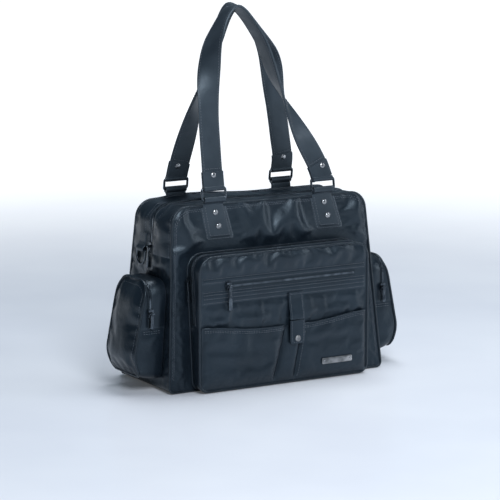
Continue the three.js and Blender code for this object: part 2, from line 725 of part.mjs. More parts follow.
// ---------------------------------------------------------------- assembly

const frontSpots = RING_SPOTS.filter((spot) => !spot.back);
const backSpots = RING_SPOTS.filter((spot) => spot.back);

const frontPanel = panel(frontY, offsetFrom(frontY, SKIN)).subtract(rivetHoles(frontSpots));
const backPanel = panel(offsetFrom(backY, -SKIN), backY).subtract(rivetHoles(backSpots));

addPiece('front_panel', frontPanel, leather);
addPiece('back_panel', backPanel, leather);
addPiece('side_gusset_left', sideGusset(-1), leather);
addPiece('side_gusset_right', sideGusset(1), leather);
addPiece('base_panel', basePanel(), leather);
addPiece('base_board', baseBoard(), board);
addPiece('lining', liningTub(), lining);
addPiece('mouth_panel_front', mouthPanel(-1), leather);
addPiece('mouth_panel_back', mouthPanel(1), leather);
addPiece('main_zip_left', mainZipEnd(-1), zipTape);
addPiece('main_zip_right', mainZipEnd(1), zipTape);
addSlider('main_zip', sideFrame(-1, 0, MAIN_SLIDER, ZIP_RISE), PULL_LENGTH.main);

for (const spot of RING_SPOTS) {
  addPiece(`anchor_tab_${spot.name}`, placeSolid(anchorTab(spot), anchorFrame(spot)), leather);
  addPiece(`anchor_rivets_${spot.name}`, placeSolid(anchorRivets(spot), anchorFrame(spot)), nickel);
}

for (const side of ['front', 'back']) {
  const frame = handleFrame(side);
  addPiece(`handle_strap_${side}`, placeSolid(handleStrap(side), frame), leather);
  const [first, last] = ringCentres(side);
  for (const [end, x] of [['left', first], ['right', last]]) {
    addPiece(`handle_ring_${side}_${end}`, placeSolid(handleRing(x), frame), gunmetal);
    addPiece(`handle_rivet_${side}_${end}`, placeSolid(handleRivet(x), frame), nickel);
  }
}

addFrontPocket();
const faceZipPlace = new THREE.Vector3(FACE_ZIP.slider, POCKET.face - ZIP_RISE, FACE_ZIP.height);
addSlider('face_zip', surfaceFrame(faceZipPlace, AXIS.x, TOWARDS_FRONT), PULL_LENGTH.face);

const pocketZipMiddle = frontY(POCKET_SLIDER) - POCKET_SPLIT - ZIP_HALF;
const bodyRise = (BODY_FRONT.top - BODY_FRONT.base) / BODY.height;
const pocketZipPlace = new THREE.Vector3(-POCKET.half - ZIP_RISE, pocketZipMiddle, POCKET_SLIDER);
const downPocketZip = new THREE.Vector3(0, -1, bodyRise);
const pocketZipFrame = surfaceFrame(pocketZipPlace, downPocketZip, AXIS.x.clone().negate());
addSlider('pocket_zip', pocketZipFrame, PULL_LENGTH.pocket);

addSidePocket('left', -1);
addSidePocket('right', 1);

for (const [side, sign] of [['left', -1], ['right', 1]]) {
  const frame = sideFrame(sign, D_RING.y, D_RING.z, 0);
  addPiece(`d_ring_tab_${side}`, placeSolid(dRingTab(), frame), leather);
  addPiece(`d_ring_${side}`, placeSolid(dRing(), frame), gunmetal);
}

export default bag;
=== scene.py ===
"""A soft leather-look diaper bag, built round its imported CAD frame.

Metres, +Z up. The front faces -Y, and +X is on the right of someone facing the front. Each section
makes one sub-part: its shape first, then its seams and stitches, then the body it moves with.
"""

import json
import math

import bpy
import numpy as np
from mathutils import Matrix, Vector, kdtree, noise
from mathutils.bvhtree import BVHTree


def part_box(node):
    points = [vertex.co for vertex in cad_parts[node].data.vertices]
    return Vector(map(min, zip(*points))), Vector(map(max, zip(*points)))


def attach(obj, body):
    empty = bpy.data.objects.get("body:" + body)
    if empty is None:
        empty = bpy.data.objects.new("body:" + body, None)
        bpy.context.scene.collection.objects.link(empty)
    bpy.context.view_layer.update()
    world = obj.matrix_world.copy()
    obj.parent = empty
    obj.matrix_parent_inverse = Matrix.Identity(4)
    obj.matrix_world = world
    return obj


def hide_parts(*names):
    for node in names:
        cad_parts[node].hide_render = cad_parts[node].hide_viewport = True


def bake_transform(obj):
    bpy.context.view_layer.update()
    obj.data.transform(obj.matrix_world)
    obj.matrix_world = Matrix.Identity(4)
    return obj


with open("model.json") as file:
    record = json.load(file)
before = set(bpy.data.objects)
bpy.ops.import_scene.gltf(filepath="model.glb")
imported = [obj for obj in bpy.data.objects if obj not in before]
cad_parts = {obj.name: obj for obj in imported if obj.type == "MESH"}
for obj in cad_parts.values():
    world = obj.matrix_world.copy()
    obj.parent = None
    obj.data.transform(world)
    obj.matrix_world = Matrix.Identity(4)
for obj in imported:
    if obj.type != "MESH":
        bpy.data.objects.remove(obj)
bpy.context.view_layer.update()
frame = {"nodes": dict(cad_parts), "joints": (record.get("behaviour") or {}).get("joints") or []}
MM = 0.001
X, Y = Vector((1, 0, 0)), Vector((0, 1, 0))


# ---------------------------------------------------------------- sizes, from the frame

SKIN = 3 * MM
GAP = 0.4 * MM
PANEL = 1.8 * MM                        # the leather of the body
POCKET_LEATHER = 1.6 * MM
THIN_LEATHER = 1.5 * MM
SMOOTH_ANGLE = 40                       # edges sharper than this many degrees stay sharp
FRONT_LOW, FRONT_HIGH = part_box("front_panel")
BACK_LOW, BACK_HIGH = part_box("back_panel")
HEIGHT = FRONT_HIGH.z
BASE_HALF = FRONT_HIGH.x
TOP_HALF = BASE_HALF - 21 * MM          # the sides lean in towards the top
TOP_ROUND = 28 * MM
BASE_ROUND = 10 * MM
BASE_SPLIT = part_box("base_panel")[1].x
MOUTH_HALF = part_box("mouth_panel_front")[1].x
MOUTH_END = MOUTH_HALF + 58 * MM        # past here the top no longer opens
ZIP_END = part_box("main_zip_left")[0].z
ZIP_EDGE = 5 * MM                       # from the middle of a zip to the leather beside it
ZIP_RISE = 1.4 * MM

POCKET_LOW, POCKET_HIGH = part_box("pocket_face")
POCKET_HALF = POCKET_HIGH.x
POCKET_ROUND = {"top": 24 * MM, "base": 14 * MM}
POCKET_SPLIT = 5.5 * MM
POCKET_ZIP_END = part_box("pocket_zip")[0].z

SIDE_LOW, SIDE_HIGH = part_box("side_pocket_face_right")
SIDE_SPLIT = SIDE_LOW.x
SIDE_ZIP_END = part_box("side_pocket_zip_right")[0].z
SIDE_ROUND = {"top": 26 * MM, "base": 12 * MM}
BAG_MIDDLE = Vector((0, 0, HEIGHT / 2))


def lerp(a, b, t):
    return a + (b - a) * t


def spread(index, count):
    """From -1 at the first of count places to 1 at the last."""
    return 2 * index / (count - 1) - 1


def smooth(low, high, value):
    t = min(max((value - low) / (high - low), 0), 1)
    return t * t * (3 - 2 * t)


def front_y(z):
    return lerp(FRONT_LOW.y, FRONT_HIGH.y - SKIN, z / HEIGHT)


def back_y(z):
    return lerp(BACK_HIGH.y, BACK_LOW.y + SKIN, z / HEIGHT)


def side_x(z):
    return lerp(BASE_HALF, TOP_HALF, z / HEIGHT)


def sag(x, y, z):
    """How far the soft top hangs down: most along its back edge, between the handles."""
    back = smooth(-60 * MM, 50 * MM, y)
    right = smooth(-90 * MM, 40 * MM, x) * (1 - smooth(152 * MM, 180 * MM, x))
    left = 0.6 * (1 - smooth(-150 * MM, -100 * MM, x))
    return 6 * MM * lerp(0.15, 1, back) * (right + left) * smooth(HEIGHT - 60 * MM, HEIGHT, z)


def waver(point, scale, seed=0.0):
    """Smooth noise from about -1 to 1, with bumps about scale across."""
    return noise.noise(Vector(point) / scale + Vector((seed, seed * 1.7, -seed)))


# ---------------------------------------------------------------- lines

def run_lengths(line):
    """How far along a line each of its points is."""
    return np.concatenate([[0], np.cumsum(np.linalg.norm(np.diff(line, axis=0), axis=1))])


def resample(points, step, closed=False):
    """Points evenly spaced along a line, about step apart. A closed line doesn't repeat its start."""
    line = np.array([list(p) for p in points] + ([list(points[0])] if closed else []))
    along = run_lengths(line)
    count = max(int(round(along[-1] / step)), 2)
    wanted = np.linspace(0, along[-1], count + 1)
    spaced = np.stack([np.interp(wanted, along, line[:, k]) for k in range(line.shape[1])], 1)
    return [Vector(p) for p in (spaced[:-1] if closed else spaced)]


ARC_STEPS = 12


def rounded(corners, step=4 * MM, closed=False):
    """A line through 2-D corners (a, b, radius), with an arc at each rounded one."""
    dense = []
    count = len(corners)
    for i, (a, b, radius) in enumerate(corners):
        here = Vector((a, b))
        if radius == 0 or (not closed and i in (0, count - 1)):
            dense.append(here)
            continue
        before = (Vector(corners[i - 1][:2]) - here).normalized()
        after = (Vector(corners[(i + 1) % count][:2]) - here).normalized()
        half = before.angle(after) / 2
        centre = here + (before + after).normalized() * radius / math.sin(half)
        start = here + before * radius / math.tan(half) - centre
        end = here + after * radius / math.tan(half) - centre
        first = math.atan2(start.y, start.x)
        turn = math.atan2(start.x * end.y - start.y * end.x, start.dot(end))
        for k in range(ARC_STEPS + 1):
            angle = first + turn * k / ARC_STEPS
            dense.append(centre + Vector((math.cos(angle), math.sin(angle))) * radius)
    return resample(dense, step, closed)


def edge_line(low_half, high_half, low, high, low_round, high_round, step=4 * MM):
    """The right edge of a panel, from its base to its top, as (half width, height)."""
    corners = [(0, low, 0), (low_half, low, low_round), (high_half, high, high_round), (0, high, 0)]
    line = rounded(corners, step / 4)
    kept = [p for p in line if low + MM / 20 < p.y < high - MM / 20]
    first = (low_half - low_round, low)
    last = (high_half - high_round, high)
    return [tuple(p) for p in resample([first, *kept, last], step)]


def frames_along(points, closed=False):
    """The direction of travel at each point of a line."""
    count = len(points)
    directions = []
    for i in range(count):
        after = points[(i + 1) % count] if closed or i < count - 1 else points[i]
        before = points[i - 1] if closed or i > 0 else points[i]
        directions.append((after - before).normalized())
    return directions


def loop_round(halves, heights, radii, step=4 * MM, middle=0):
    """A closed line round a panel from the middle of its base. Each pair is base, then top."""
    corners = [(middle - half, z, r) for half, z, r in zip(halves, heights, radii)]
    corners += [(middle + half, z, r) for half, z, r in reversed(list(zip(halves, heights, radii)))]
    return rounded([(middle, heights[0], 0), *corners], step, closed=True)


def split_loop(line, out, zip_end):
    """A loop's points with their normals: all, those along its zip, and the rest."""
    both = list(zip(line, out))
    top = [i for i, p in enumerate(line) if p.y >= zip_end]
    return both, both[min(top):max(top) + 1], both[max(top):] + both[:min(top) + 1]


def rectangle(half, low, high, radius):
    """The corners of an upright rectangle, for rounded()."""
    return [(-half, low, radius), (half, low, radius), (half, high, radius), (-half, high, radius)]


# ---------------------------------------------------------------- meshes

def set_all(thing, **values):
    for key, value in values.items():
        setattr(thing, key, value)


def add_object(name, data):
    added = bpy.data.objects.new(name, data)
    bpy.context.scene.collection.objects.link(added)
    return added


def make_mesh(name, points, faces, material, crease=SMOOTH_ANGLE):
    mesh = bpy.data.meshes.new(name)
    mesh.from_pydata([tuple(p) for p in points], [], faces)
    mesh.materials.append(material)
    mesh.polygons.foreach_set("use_smooth", [True] * len(mesh.polygons))
    mesh.set_sharp_from_angle(angle=math.radians(crease))
    return add_object(name, mesh)


def ring_faces(sides, rings, closed=False, around=True):
    """Quads between rings of points. closed joins the last ring to the first, around each to itself."""
    faces = []
    for i in range(rings if closed else rings - 1):
        a, b = i * sides, ((i + 1) % rings) * sides
        for k in range(sides if around else sides - 1):
            m = (k + 1) % sides
            faces.append((a + k, a + m, b + m, b + k))
    return faces


def end_faces(sides, rings):
    """The two ends of a tube of rings."""
    last = (rings - 1) * sides
    return [tuple(reversed(range(sides))), tuple(range(last, last + sides))]


def apply_modifiers(piece):
    evaluated = piece.evaluated_get(bpy.context.evaluated_depsgraph_get())
    old = piece.data
    piece.data = bpy.data.meshes.new_from_object(evaluated)
    piece.modifiers.clear()
    piece.vertex_groups.clear()
    bpy.data.meshes.remove(old)
    piece.data.set_sharp_from_angle(angle=math.radians(SMOOTH_ANGLE))
    return piece


def grid(name, rows, columns, place, material=None, inside=BAG_MIDDLE, around=False):
    """A sheet of quads through place(row, column), its faces turned away from the point inside."""
    points = [place(r, c) for r in range(rows) for c in range(columns)]
    piece = make_mesh(name, points, ring_faces(columns, rows, around=around), material or LEATHER)
    facing = sum((f.normal.dot(f.center - inside) * f.area for f in piece.data.polygons), 0.0)
    if facing < 0:
        piece.data.flip_normals()
    return piece


def droop(piece):
    """Lets the soft top hang."""
    for vertex in piece.data.vertices:
        vertex.co.z -= sag(*vertex.co)
    piece.data.update()
    return piece


def surface_of(piece):
    mesh = piece.data
    faces = [tuple(f.vertices) for f in mesh.polygons]
    return BVHTree.FromPolygons([v.co for v in mesh.vertices], faces)


def thicken(piece, thickness):
    """Gives a sheet its thickness on the inside, and keeps it above the ground."""
    set_all(piece.modifiers.new("thickness", "SOLIDIFY"), thickness=thickness, offset=-1)
    apply_modifiers(piece)
    for vertex in piece.data.vertices:
        vertex.co.z = max(vertex.co.z, 0)
    return piece


def refine(piece):
    set_all(piece.modifiers.new("finer", "SUBSURF"), levels=1, render_levels=1,
            boundary_smooth="PRESERVE_CORNERS")
    return apply_modifiers(piece)


# How each kind of sewn panel is draped: growth, air pressure, furthest travel, frames, stiffness.
CLOTH = {
    "panel": (0.03, 1.3, 5 * MM, 14, 90),
    "top": (0.014, 0.6, 2.4 * MM, 10, 25),
    "side": (0.03, 1.0, 3.5 * MM, 12, 16),
    "pocket_face": (0.024, 1.3, 3.5 * MM, 14, 90),
    "slip": (0.009, 0.7, 1.6 * MM, 12, 40),
    "side_pocket": (0.03, 1.2, 2.5 * MM, 12, 16),
}


def settle(piece, pins, kind):
    """Lets a panel buckle and puff out between its sewn edges, by cloth simulation."""
    growth, pressure, most, frames, stiffness = CLOTH[kind]
    rest = np.array([v.co[:] for v in piece.data.vertices])
    group = piece.vertex_groups.new(name="sewn")
    for index, weight in enumerate(pins):
        group.add([index], weight, "REPLACE")
    cloth = piece.modifiers.new("cloth", "CLOTH")
    set_all(cloth.point_cache, frame_start=1, frame_end=frames)
    set_all(cloth.collision_settings, use_collision=False, use_self_collision=False)
    set_all(cloth.settings, quality=5, mass=0.4, tension_stiffness=20, compression_stiffness=20,
            shear_stiffness=8, bending_stiffness=stiffness, air_damping=2, vertex_group_mass="sewn",
            shrink_min=-growth, use_pressure=True, uniform_pressure_force=pressure)
    cloth.settings.effector_weights.gravity = 0
    for number in range(1, frames + 1):
        bpy.context.scene.frame_set(number)
    apply_modifiers(piece)
    bpy.context.scene.frame_set(1)
    moved = np.array([v.co[:] for v in piece.data.vertices]) - rest
    length = np.maximum(np.linalg.norm(moved, axis=1), 1e-9)
    moved *= (np.tanh(length / most) * most / length)[:, None]
    piece.data.vertices.foreach_set("co", (rest + moved).astype(np.float32).ravel())
    piece.data.update()


def pinch(piece, lines, depth, width):
    """Pulls a sheet in along its sewn lines."""
    tree = kdtree.KDTree(sum(len(line) for line in lines))
    for index, point in enumerate(point for line in lines for point in line):
        tree.insert(point, index)
    tree.balance()
    vertices = piece.data.vertices
    shifts = []
    for vertex in vertices:
        distance = tree.find(vertex.co)[2]
        shifts.append(vertex.normal * -depth * math.exp(-((distance / width) ** 2)))
    for vertex, shift in zip(vertices, shifts):
        vertex.co += shift
    piece.data.update()


def sweep(name, points, normals, profile, material, closed=False, crease=SMOOTH_ANGLE):
    """Carries a closed profile of (across, out) along a line. Normals give the outward direction."""
    directions = frames_along(points, closed)
    sections = [profile(i) if callable(profile) else profile for i in range(len(points))]
    sides, count = len(sections[0]), len(points)
    vertices = []
    for point, along, normal, section in zip(points, directions, normals, sections):
        across = along.cross(normal).normalized()
        out = across.cross(along)
        vertices += [point + across * a + out * h for a, h in section]
    faces = ring_faces(sides, count, closed)
    if not closed:
        faces += end_faces(sides, count)
    return fix_facing(make_mesh(name, vertices, faces, material, crease))


def fix_facing(piece):
    """Turns the faces of a closed mesh outward."""
    mesh = piece.data
    volume = 0.0
    for face in mesh.polygons:
        corners = [mesh.vertices[k].co for k in face.vertices]
        for b, c in zip(corners[1:], corners[2:]):
            volume += corners[0].dot(b.cross(c))
    if volume < 0:
        mesh.flip_normals()
    return piece


def circle(radius, sides=10):
    turns = [2 * math.pi * k / sides for k in range(sides)]
    return [(radius * math.cos(turn), radius * math.sin(turn)) for turn in turns]


def strap_section(width, thickness, dome=0.0):
    """A flat strap's profile: rounded edges, and a back and front that may be domed."""
    half, edge = width / 2, thickness / 2
    upper = [(half * t, edge * (1 - 0.35 * abs(t) ** 8) + dome * (1 - t * t))
             for t in (-0.97, -0.9, -0.7, -0.35, 0, 0.35, 0.7, 0.9, 0.97)]
    lower = [(a, -h) for a, h in reversed(upper)]
    return [*upper, (half, 0), *lower, (-half, 0)]


def lathe(name, place, profile, material, sides=24):
    """Turns (radius, height) points about the local Z of place."""
    points = []
    for radius, height in profile:
        points += [place @ Vector((a, b, height)) for a, b in circle(max(radius, MM / 1000), sides)]
    faces = ring_faces(sides, len(profile)) + end_faces(sides, len(profile))
    return fix_facing(make_mesh(name, points, faces, material, 60))


def plate(name, place, corners, back, front, material, bevel=0.4 * MM):
    """A flat plate with an outline of (x, z, radius) corners, from y = back to y = front."""
    line = rounded(corners, 1.2 * MM, closed=True)
    points = [place @ Vector((p.x, y, p.y)) for y in (back, front) for p in line]
    faces = ring_faces(len(line), 2) + end_faces(len(line), 2)
    piece = fix_facing(make_mesh(name, points, faces, material, 30))
    ease_edges(piece, bevel)
    return apply_modifiers(piece)


def ease_edges(piece, width):
    set_all(piece.modifiers.new("ease", "BEVEL"), width=width, segments=2, limit_method="ANGLE")


def join(name, pieces):
    """Makes one piece of several."""
    with bpy.context.temp_override(active_object=pieces[0], selected_editable_objects=pieces):
        bpy.ops.object.join()
    pieces[0].name = name
    return pieces[0]


def belong(piece, slot, body, *nodes):
    """Says which body a piece moves with, and hides the CAD nodes that it stands for. Its finish, slot, is
    not used.
    """
    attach(piece, body)
    if nodes:
        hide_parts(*nodes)


def skin(piece, thickness, body, *nodes):
    """Thickens a sheet of leather for a body. Gives the surface that it had before."""
    surface = surface_of(piece)
    belong(thicken(piece, thickness), "leather", body, *nodes)
    return surface


def bend(piece, slot, fixed, moving, start, end, *nodes):
    """For leather that crosses from a fixed body to a moving one: bakes its place into its mesh and hides the
    CAD nodes that it stands for, but gives it to neither body. slot, fixed and moving are not used.
    """
    tuple(start)
    tuple(end)
    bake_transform(piece)
    if nodes:
        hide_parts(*nodes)


# ---------------------------------------------------------------- materials

class Shader:
    """A new material, with short ways to add nodes. An input is a value or another node's output."""

    def __init__(self, name):
        self.material = bpy.data.materials.new(name)
        self.material.use_nodes = True
        self.tree = self.material.node_tree
        self.where = self.node("TexCoord", "Object")

    def fill(self, node, inputs):
        for key, value in inputs.items():
            if isinstance(value, bpy.types.NodeSocket):
                self.tree.links.new(value, node.inputs[key])
            else:
                node.inputs[key].default_value = value

    def node(self, kind, output, inputs=None, **settings):
        node = self.tree.nodes.new(f"ShaderNode{kind}")
        set_all(node, **settings)
        self.fill(node, inputs or {})
        return node.outputs[output]

    def noise(self, scale, detail=3.0, distortion=0.0):
        return self.node("TexNoise", "Fac", {"Scale": scale, "Detail": detail, "Distortion": distortion,
                                             "Vector": self.where})

    def ramp(self, value, low, high, start=0.35, stop=0.65):
        """Colours a value from low to high."""
        colour = self.node("ValToRGB", "Color", {"Fac": value})
        for stop_point, position, tone in zip(colour.node.color_ramp.elements, (start, stop), (low, high)):
            set_all(stop_point, position=position, color=(*tone, 1))
        return colour

    def span(self, value, low, high, start=0.3, stop=0.7, **settings):
        """Spreads a value's range from start to stop over low to high."""
        return self.node("MapRange", "Result", {"From Min": start, "From Max": stop, "To Min": low,
                                                "To Max": high, "Value": value}, **settings)

    def bump(self, height, distance, strength, under=None):
        inputs = {"Distance": distance, "Strength": strength, "Height": height}
        return self.node("Bump", "Normal", {**inputs, "Normal": under} if under else inputs)

    def finish(self, **inputs):
        """Fills the surface's inputs, and gives the material."""
        self.fill(self.tree.nodes["Principled BSDF"], {k.replace("_", " "): v for k, v in inputs.items()})
        return self.material


COOL = (0.66, 0.85, 1, 1)
WORN = (0.04, 0.05, 0.062, 1)


def leather_material(name, dark, light, roughness, creases):
    """Coated imitation leather: pebbled grain, soft creases, and edges that have rubbed paler."""
    s = Shader(name)
    rubbed = s.span(s.node("NewGeometry", "Pointiness"), 0, 0.45, 0.52, 0.62)
    patches = s.ramp(s.noise(14, 4, 0.6), dark, light)
    colour = s.node("Mix", "Result", {"B": WORN, "Factor": rubbed, "A": patches}, data_type="RGBA")
    cells = s.node("TexVoronoi", "Distance", {"Scale": 800, "Vector": s.where}, feature="SMOOTH_F1")
    crumple = s.bump(s.noise(34, 5, 1.2), 5 * MM, creases)
    fine = s.bump(s.noise(130, 3, 0.8), 1.2 * MM, creases, crumple)
    return s.finish(Base_Color=colour, Roughness=s.span(s.noise(45), roughness - 0.05, roughness + 0.09),
                    Normal=s.bump(cells, 0.25 * MM, 0.35, fine), Specular_IOR_Level=0.46,
                    Specular_Tint=COOL, Coat_Weight=0.08, Coat_Roughness=0.28)


def woven_material(name, dark, light, scale):
    """Woven tape or cloth: two crossed sets of threads."""
    s = Shader(name)
    waves = [s.node("TexWave", "Fac", {"Scale": scale, "Distortion": 0.4, "Vector": s.where},
                    bands_direction=axis) for axis in ("X", "Z")]
    crossed = s.node("Math", 0, dict(enumerate(waves)), operation="MAXIMUM")
    threads = s.bump(crossed, 0.3 * MM, 0.6)
    return s.finish(Base_Color=s.ramp(crossed, dark, light, 0.2, 0.9), Roughness=0.8, Sheen_Weight=0.12,
                    Normal=s.bump(s.noise(60), 1.5 * MM, 0.3, threads), Sheen_Tint=COOL, Specular_Tint=COOL)


def metal_material(name, dark, light, roughness):
    """Plated metal with fine scratches and a little tarnish."""
    s = Shader(name)
    scratches = s.noise(1500, 2, 2.5)
    return s.finish(Base_Color=s.ramp(s.noise(90, 4), dark, light), Metallic=1,
                    Roughness=s.span(scratches, roughness - 0.06, roughness + 0.1),
                    Normal=s.bump(scratches, 0.05 * MM, 0.25))


def thread_material():
    s = Shader("thread")
    twist = s.noise(2600, 2)
    return s.finish(Base_Color=s.ramp(twist, (0.042, 0.049, 0.06), (0.125, 0.138, 0.16)), Roughness=0.45,
                    Normal=s.bump(twist, 0.1 * MM, 0.5), Specular_Tint=COOL)


def board_material():
    s = Shader("board")
    fibres = s.noise(300, 6)
    return s.finish(Base_Color=s.ramp(fibres, (0.012, 0.012, 0.013), (0.03, 0.03, 0.032)), Roughness=0.75,
                    Normal=s.bump(fibres, 0.3 * MM, 0.4))


LEATHER = leather_material("leather", (0.003, 0.0058, 0.0098), (0.0065, 0.0115, 0.0178), 0.37, 0.2)
STRAP_LEATHER = leather_material("strap_leather", (0.014, 0.0195, 0.0255), (0.025, 0.033, 0.042), 0.42, 0.1)
PIPING = leather_material("piping_leather", (0.003, 0.0045, 0.007), (0.006, 0.009, 0.0125), 0.34, 0.1)
ZIP_TAPE = woven_material("zip_tape", (0.002, 0.0035, 0.005), (0.008, 0.0125, 0.0175), 260)
LINING = woven_material("lining_cloth", (0.020, 0.022, 0.028), (0.055, 0.06, 0.07), 220)
GUNMETAL = metal_material("gunmetal", (0.036, 0.045, 0.056), (0.11, 0.132, 0.155), 0.26)
TEETH = metal_material("zip_teeth", (0.04, 0.05, 0.062), (0.14, 0.168, 0.198), 0.28)
NICKEL = metal_material("nickel", (0.2, 0.21, 0.225), (0.36, 0.37, 0.385), 0.22)
BADGE_METAL = metal_material("badge_metal", (0.16, 0.165, 0.17), (0.34, 0.345, 0.35), 0.34)
THREAD = thread_material()
BOARD = board_material()


# ---------------------------------------------------------------- stitches and zips

STITCH = {"pitch": 4.4 * MM, "length": 3.3 * MM, "width": 0.85 * MM, "height": 0.6 * MM}


def spaced(points, pitch):
    """Places and directions every pitch along a line."""
    line = resample(points, pitch)
    steps = [(a, b) for a, b in zip(line, line[1:]) if (b - a).length > MM / 10]
    return [((a + b) / 2, (b - a).normalized()) for a, b in steps]


class Stitching:
    """Collects the stitches of one body, and makes them one piece."""

    def __init__(self, name):
        self.name = name
        self.places = []

    def sew(self, surface, *lines, lift=0.15 * MM):
        """Sews along lines, on the nearest points of a surface."""
        for points in lines:
            for middle, along in spaced(points, STITCH["pitch"]):
                place, normal, _, _ = surface.find_nearest(middle)
                if place is not None:
                    self.places.append((place + normal * lift, along, normal))
        return self

    def lay(self, points, normals, offset):
        """Sews along a line that already lies on a strap, with its normals."""
        for i in range(1, len(points)):
            along = (points[i] - points[i - 1]).normalized()
            normal = normals[i]
            self.places.append(((points[i] + points[i - 1]) / 2 + normal * offset, along, normal))

    def make(self):
        rings = [(-0.5, 0.25), (-0.38, 0.8), (0, 1.0), (0.38, 0.8), (0.5, 0.25)]
        sides = 6
        shape = [(face[0], *reversed(face[1:])) for face in ring_faces(sides, len(rings))]
        shape += [tuple(reversed(face)) for face in end_faces(sides, len(rings))]
        vertices, faces = [], []
        for place, along, normal in self.places:
            across = along.cross(normal).normalized()
            first = len(vertices)
            for t, fat in rings:
                for a, h in circle(fat / 2, sides):
                    spot = place + along * (t * STITCH["length"]) + across * (a * STITCH["width"])
                    vertices.append(spot + normal * (h * STITCH["height"]))
            faces += [tuple(first + k for k in face) for face in shape]
        return make_mesh(self.name, vertices, faces, THREAD, 80)

    def fasten(self, body):
        belong(self.make(), "leather", body)


TOOTH = {"pitch": 2.6 * MM, "along": 1.5 * MM, "across": 2.6 * MM, "height": 1.5 * MM, "inset": 0.9 * MM}


def zip_row(name, points, normals, side, tape=4.4 * MM, hidden=1.2 * MM):
    """One half of a zip: a tape, and teeth along its inner edge. side is -1 or 1 across the line."""
    directions = frames_along(points)
    tape_profile = [(-hidden, -0.4 * MM), (tape, -0.4 * MM), (tape, 0.3 * MM), (-0.2 * MM, 0.5 * MM)]
    if side < 0:
        tape_profile = [(-a, h) for a, h in reversed(tape_profile)]
    strip = sweep(name, points, normals, tape_profile, ZIP_TAPE)
    lengths = run_lengths(np.array([list(p) for p in points]))
    count = int(lengths[-1] / TOOTH["pitch"])
    vertices, faces = [], []
    box = [(0, 1, 3, 2), (4, 6, 7, 5), (0, 4, 5, 1), (2, 3, 7, 6), (0, 2, 6, 4), (1, 5, 7, 3)]
    for k in range(count):
        distance = (k + (0.25 if side < 0 else 0.75)) * TOOTH["pitch"]
        i = min(int(np.searchsorted(lengths, distance)), len(points) - 1)
        share = (distance - lengths[i - 1]) / max(lengths[i] - lengths[i - 1], 1e-9) if i else 0
        place = points[max(i - 1, 0)].lerp(points[i], share)
        along, normal = directions[i], normals[i].normalized()
        across = along.cross(normal).normalized() * side
        first = len(vertices)
        for a in (-TOOTH["inset"], TOOTH["across"] - TOOTH["inset"]):
            for d in (-TOOTH["along"] / 2, TOOTH["along"] / 2):
                for h in (0.2 * MM, TOOTH["height"]):
                    vertices.append(place + across * a + along * d + normal * h)
        faces += [tuple(first + n for n in face) for face in box]
    teeth = make_mesh(f"{name}_teeth", vertices, faces, TEETH, 30)
    fix_facing(teeth)
    return join(name, [strip, teeth])


def zip_pair(names, points, normals, body, node, tape=4.4 * MM):
    """Both halves of a zip that stay on one body. The first half stands for the CAD node."""
    belong(zip_row(names[0], points, normals, 1, tape), "zip", body, node)
    belong(zip_row(names[1], points, normals, -1, tape), "zip", body)


def make_pipe(name, points, normals, radius, body, shape=lambda piece: piece):
    """A closed loop of piping. shape moves its points."""
    pipe = sweep(name, points, normals, circle(radius), PIPING, closed=True)
    belong(shape(pipe), "leather", body)


# ---------------------------------------------------------------- the body's panels

BODY_EDGE = edge_line(BASE_HALF, TOP_HALF, 0, HEIGHT, BASE_ROUND, TOP_ROUND)
COLUMNS = 96
TAB_HALF, TAB_END_HALF, TAB_LENGTH, TAB_PATCH = 18.4 * MM, 21 * MM, 52 * MM, 4 * MM
RING_SPOTS = {
    "front_left": {"x": -104 * MM, "slant": 0.2, "back": False},
    "front_right": {"x": 96 * MM, "slant": 0.24, "back": False},
    "back_left": {"x": -106 * MM, "slant": 0, "back": True},
    "back_right": {"x": 90 * MM, "slant": 0, "back": True},
}


def outside_pocket(x, z):
    """How far a point of the front is outside the front pocket's outline."""
    half_high = (POCKET_HIGH.z - POCKET_LOW.z) / 2
    radius = POCKET_ROUND["top"]
    a = abs(x) - (POCKET_HALF - radius)
    b = abs(z - (POCKET_LOW.z + half_high)) - (half_high - radius)
    return math.hypot(max(a, 0), max(b, 0)) + min(max(a, b), 0) - radius


def under_tab(x, z, back):
    """1 under a handle's anchor tab, falling to 0 a little way off it."""
    covered = 0.0
    for spot in RING_SPOTS.values():
        if spot["back"] != back:
            continue
        below = HEIGHT - z
        middle = spot["x"] + spot["slant"] * below
        away = max(abs(x - middle) - TAB_END_HALF, below - TAB_LENGTH - TAB_PATCH)
        covered = max(covered, 1 - smooth(0, 40 * MM, away))
    return covered


def front_loose(x, z):
    """How free the front is to move: 0 behind the pocket and under the tabs, a little beside it."""
    above = lerp(0.3, 1, smooth(POCKET_HIGH.z - 20 * MM, POCKET_HIGH.z + 10 * MM, z))
    return above * smooth(0, 22 * MM, outside_pocket(x, z)) * (1 - 0.85 * under_tab(x, z, False))


def back_loose(x, z):
    return 1 - 0.85 * under_tab(x, z, True)


def panel_pins(rows, columns, loose):
    """Pins along a grid's edges, and where it isn't loose."""
    pins = []
    for r in range(rows):
        for c in range(columns):
            at_edge = r in (0, rows - 1) or c in (0, columns - 1)
            pins.append(1.0 if at_edge else 1.0 - loose(r, c))
    return pins


def make_big_panel(name, node, surface_y, out, loose, crown, seed):
    rows = len(BODY_EDGE)

    def spot(r, c):
        half, z = BODY_EDGE[r]
        return half * spread(c, COLUMNS), z

    def place(r, c):
        x, z = spot(r, c)
        rim = min(1 - abs(spread(c, COLUMNS)), z / HEIGHT, 1 - z / HEIGHT)
        puff = crown * loose(x, z) * smooth(0, 0.16, rim)
        ripple = 1.8 * MM * waver((x, z, 0), 48 * MM, seed) * loose(x, z) * smooth(0, 0.1, rim)
        return Vector((x, surface_y(z) + out * (puff + ripple), z))

    piece = grid(name, rows, COLUMNS, place)
    settle(piece, panel_pins(rows, COLUMNS, lambda r, c: loose(*spot(r, c))), "panel")
    return skin(droop(refine(piece)), PANEL, "bag", node)


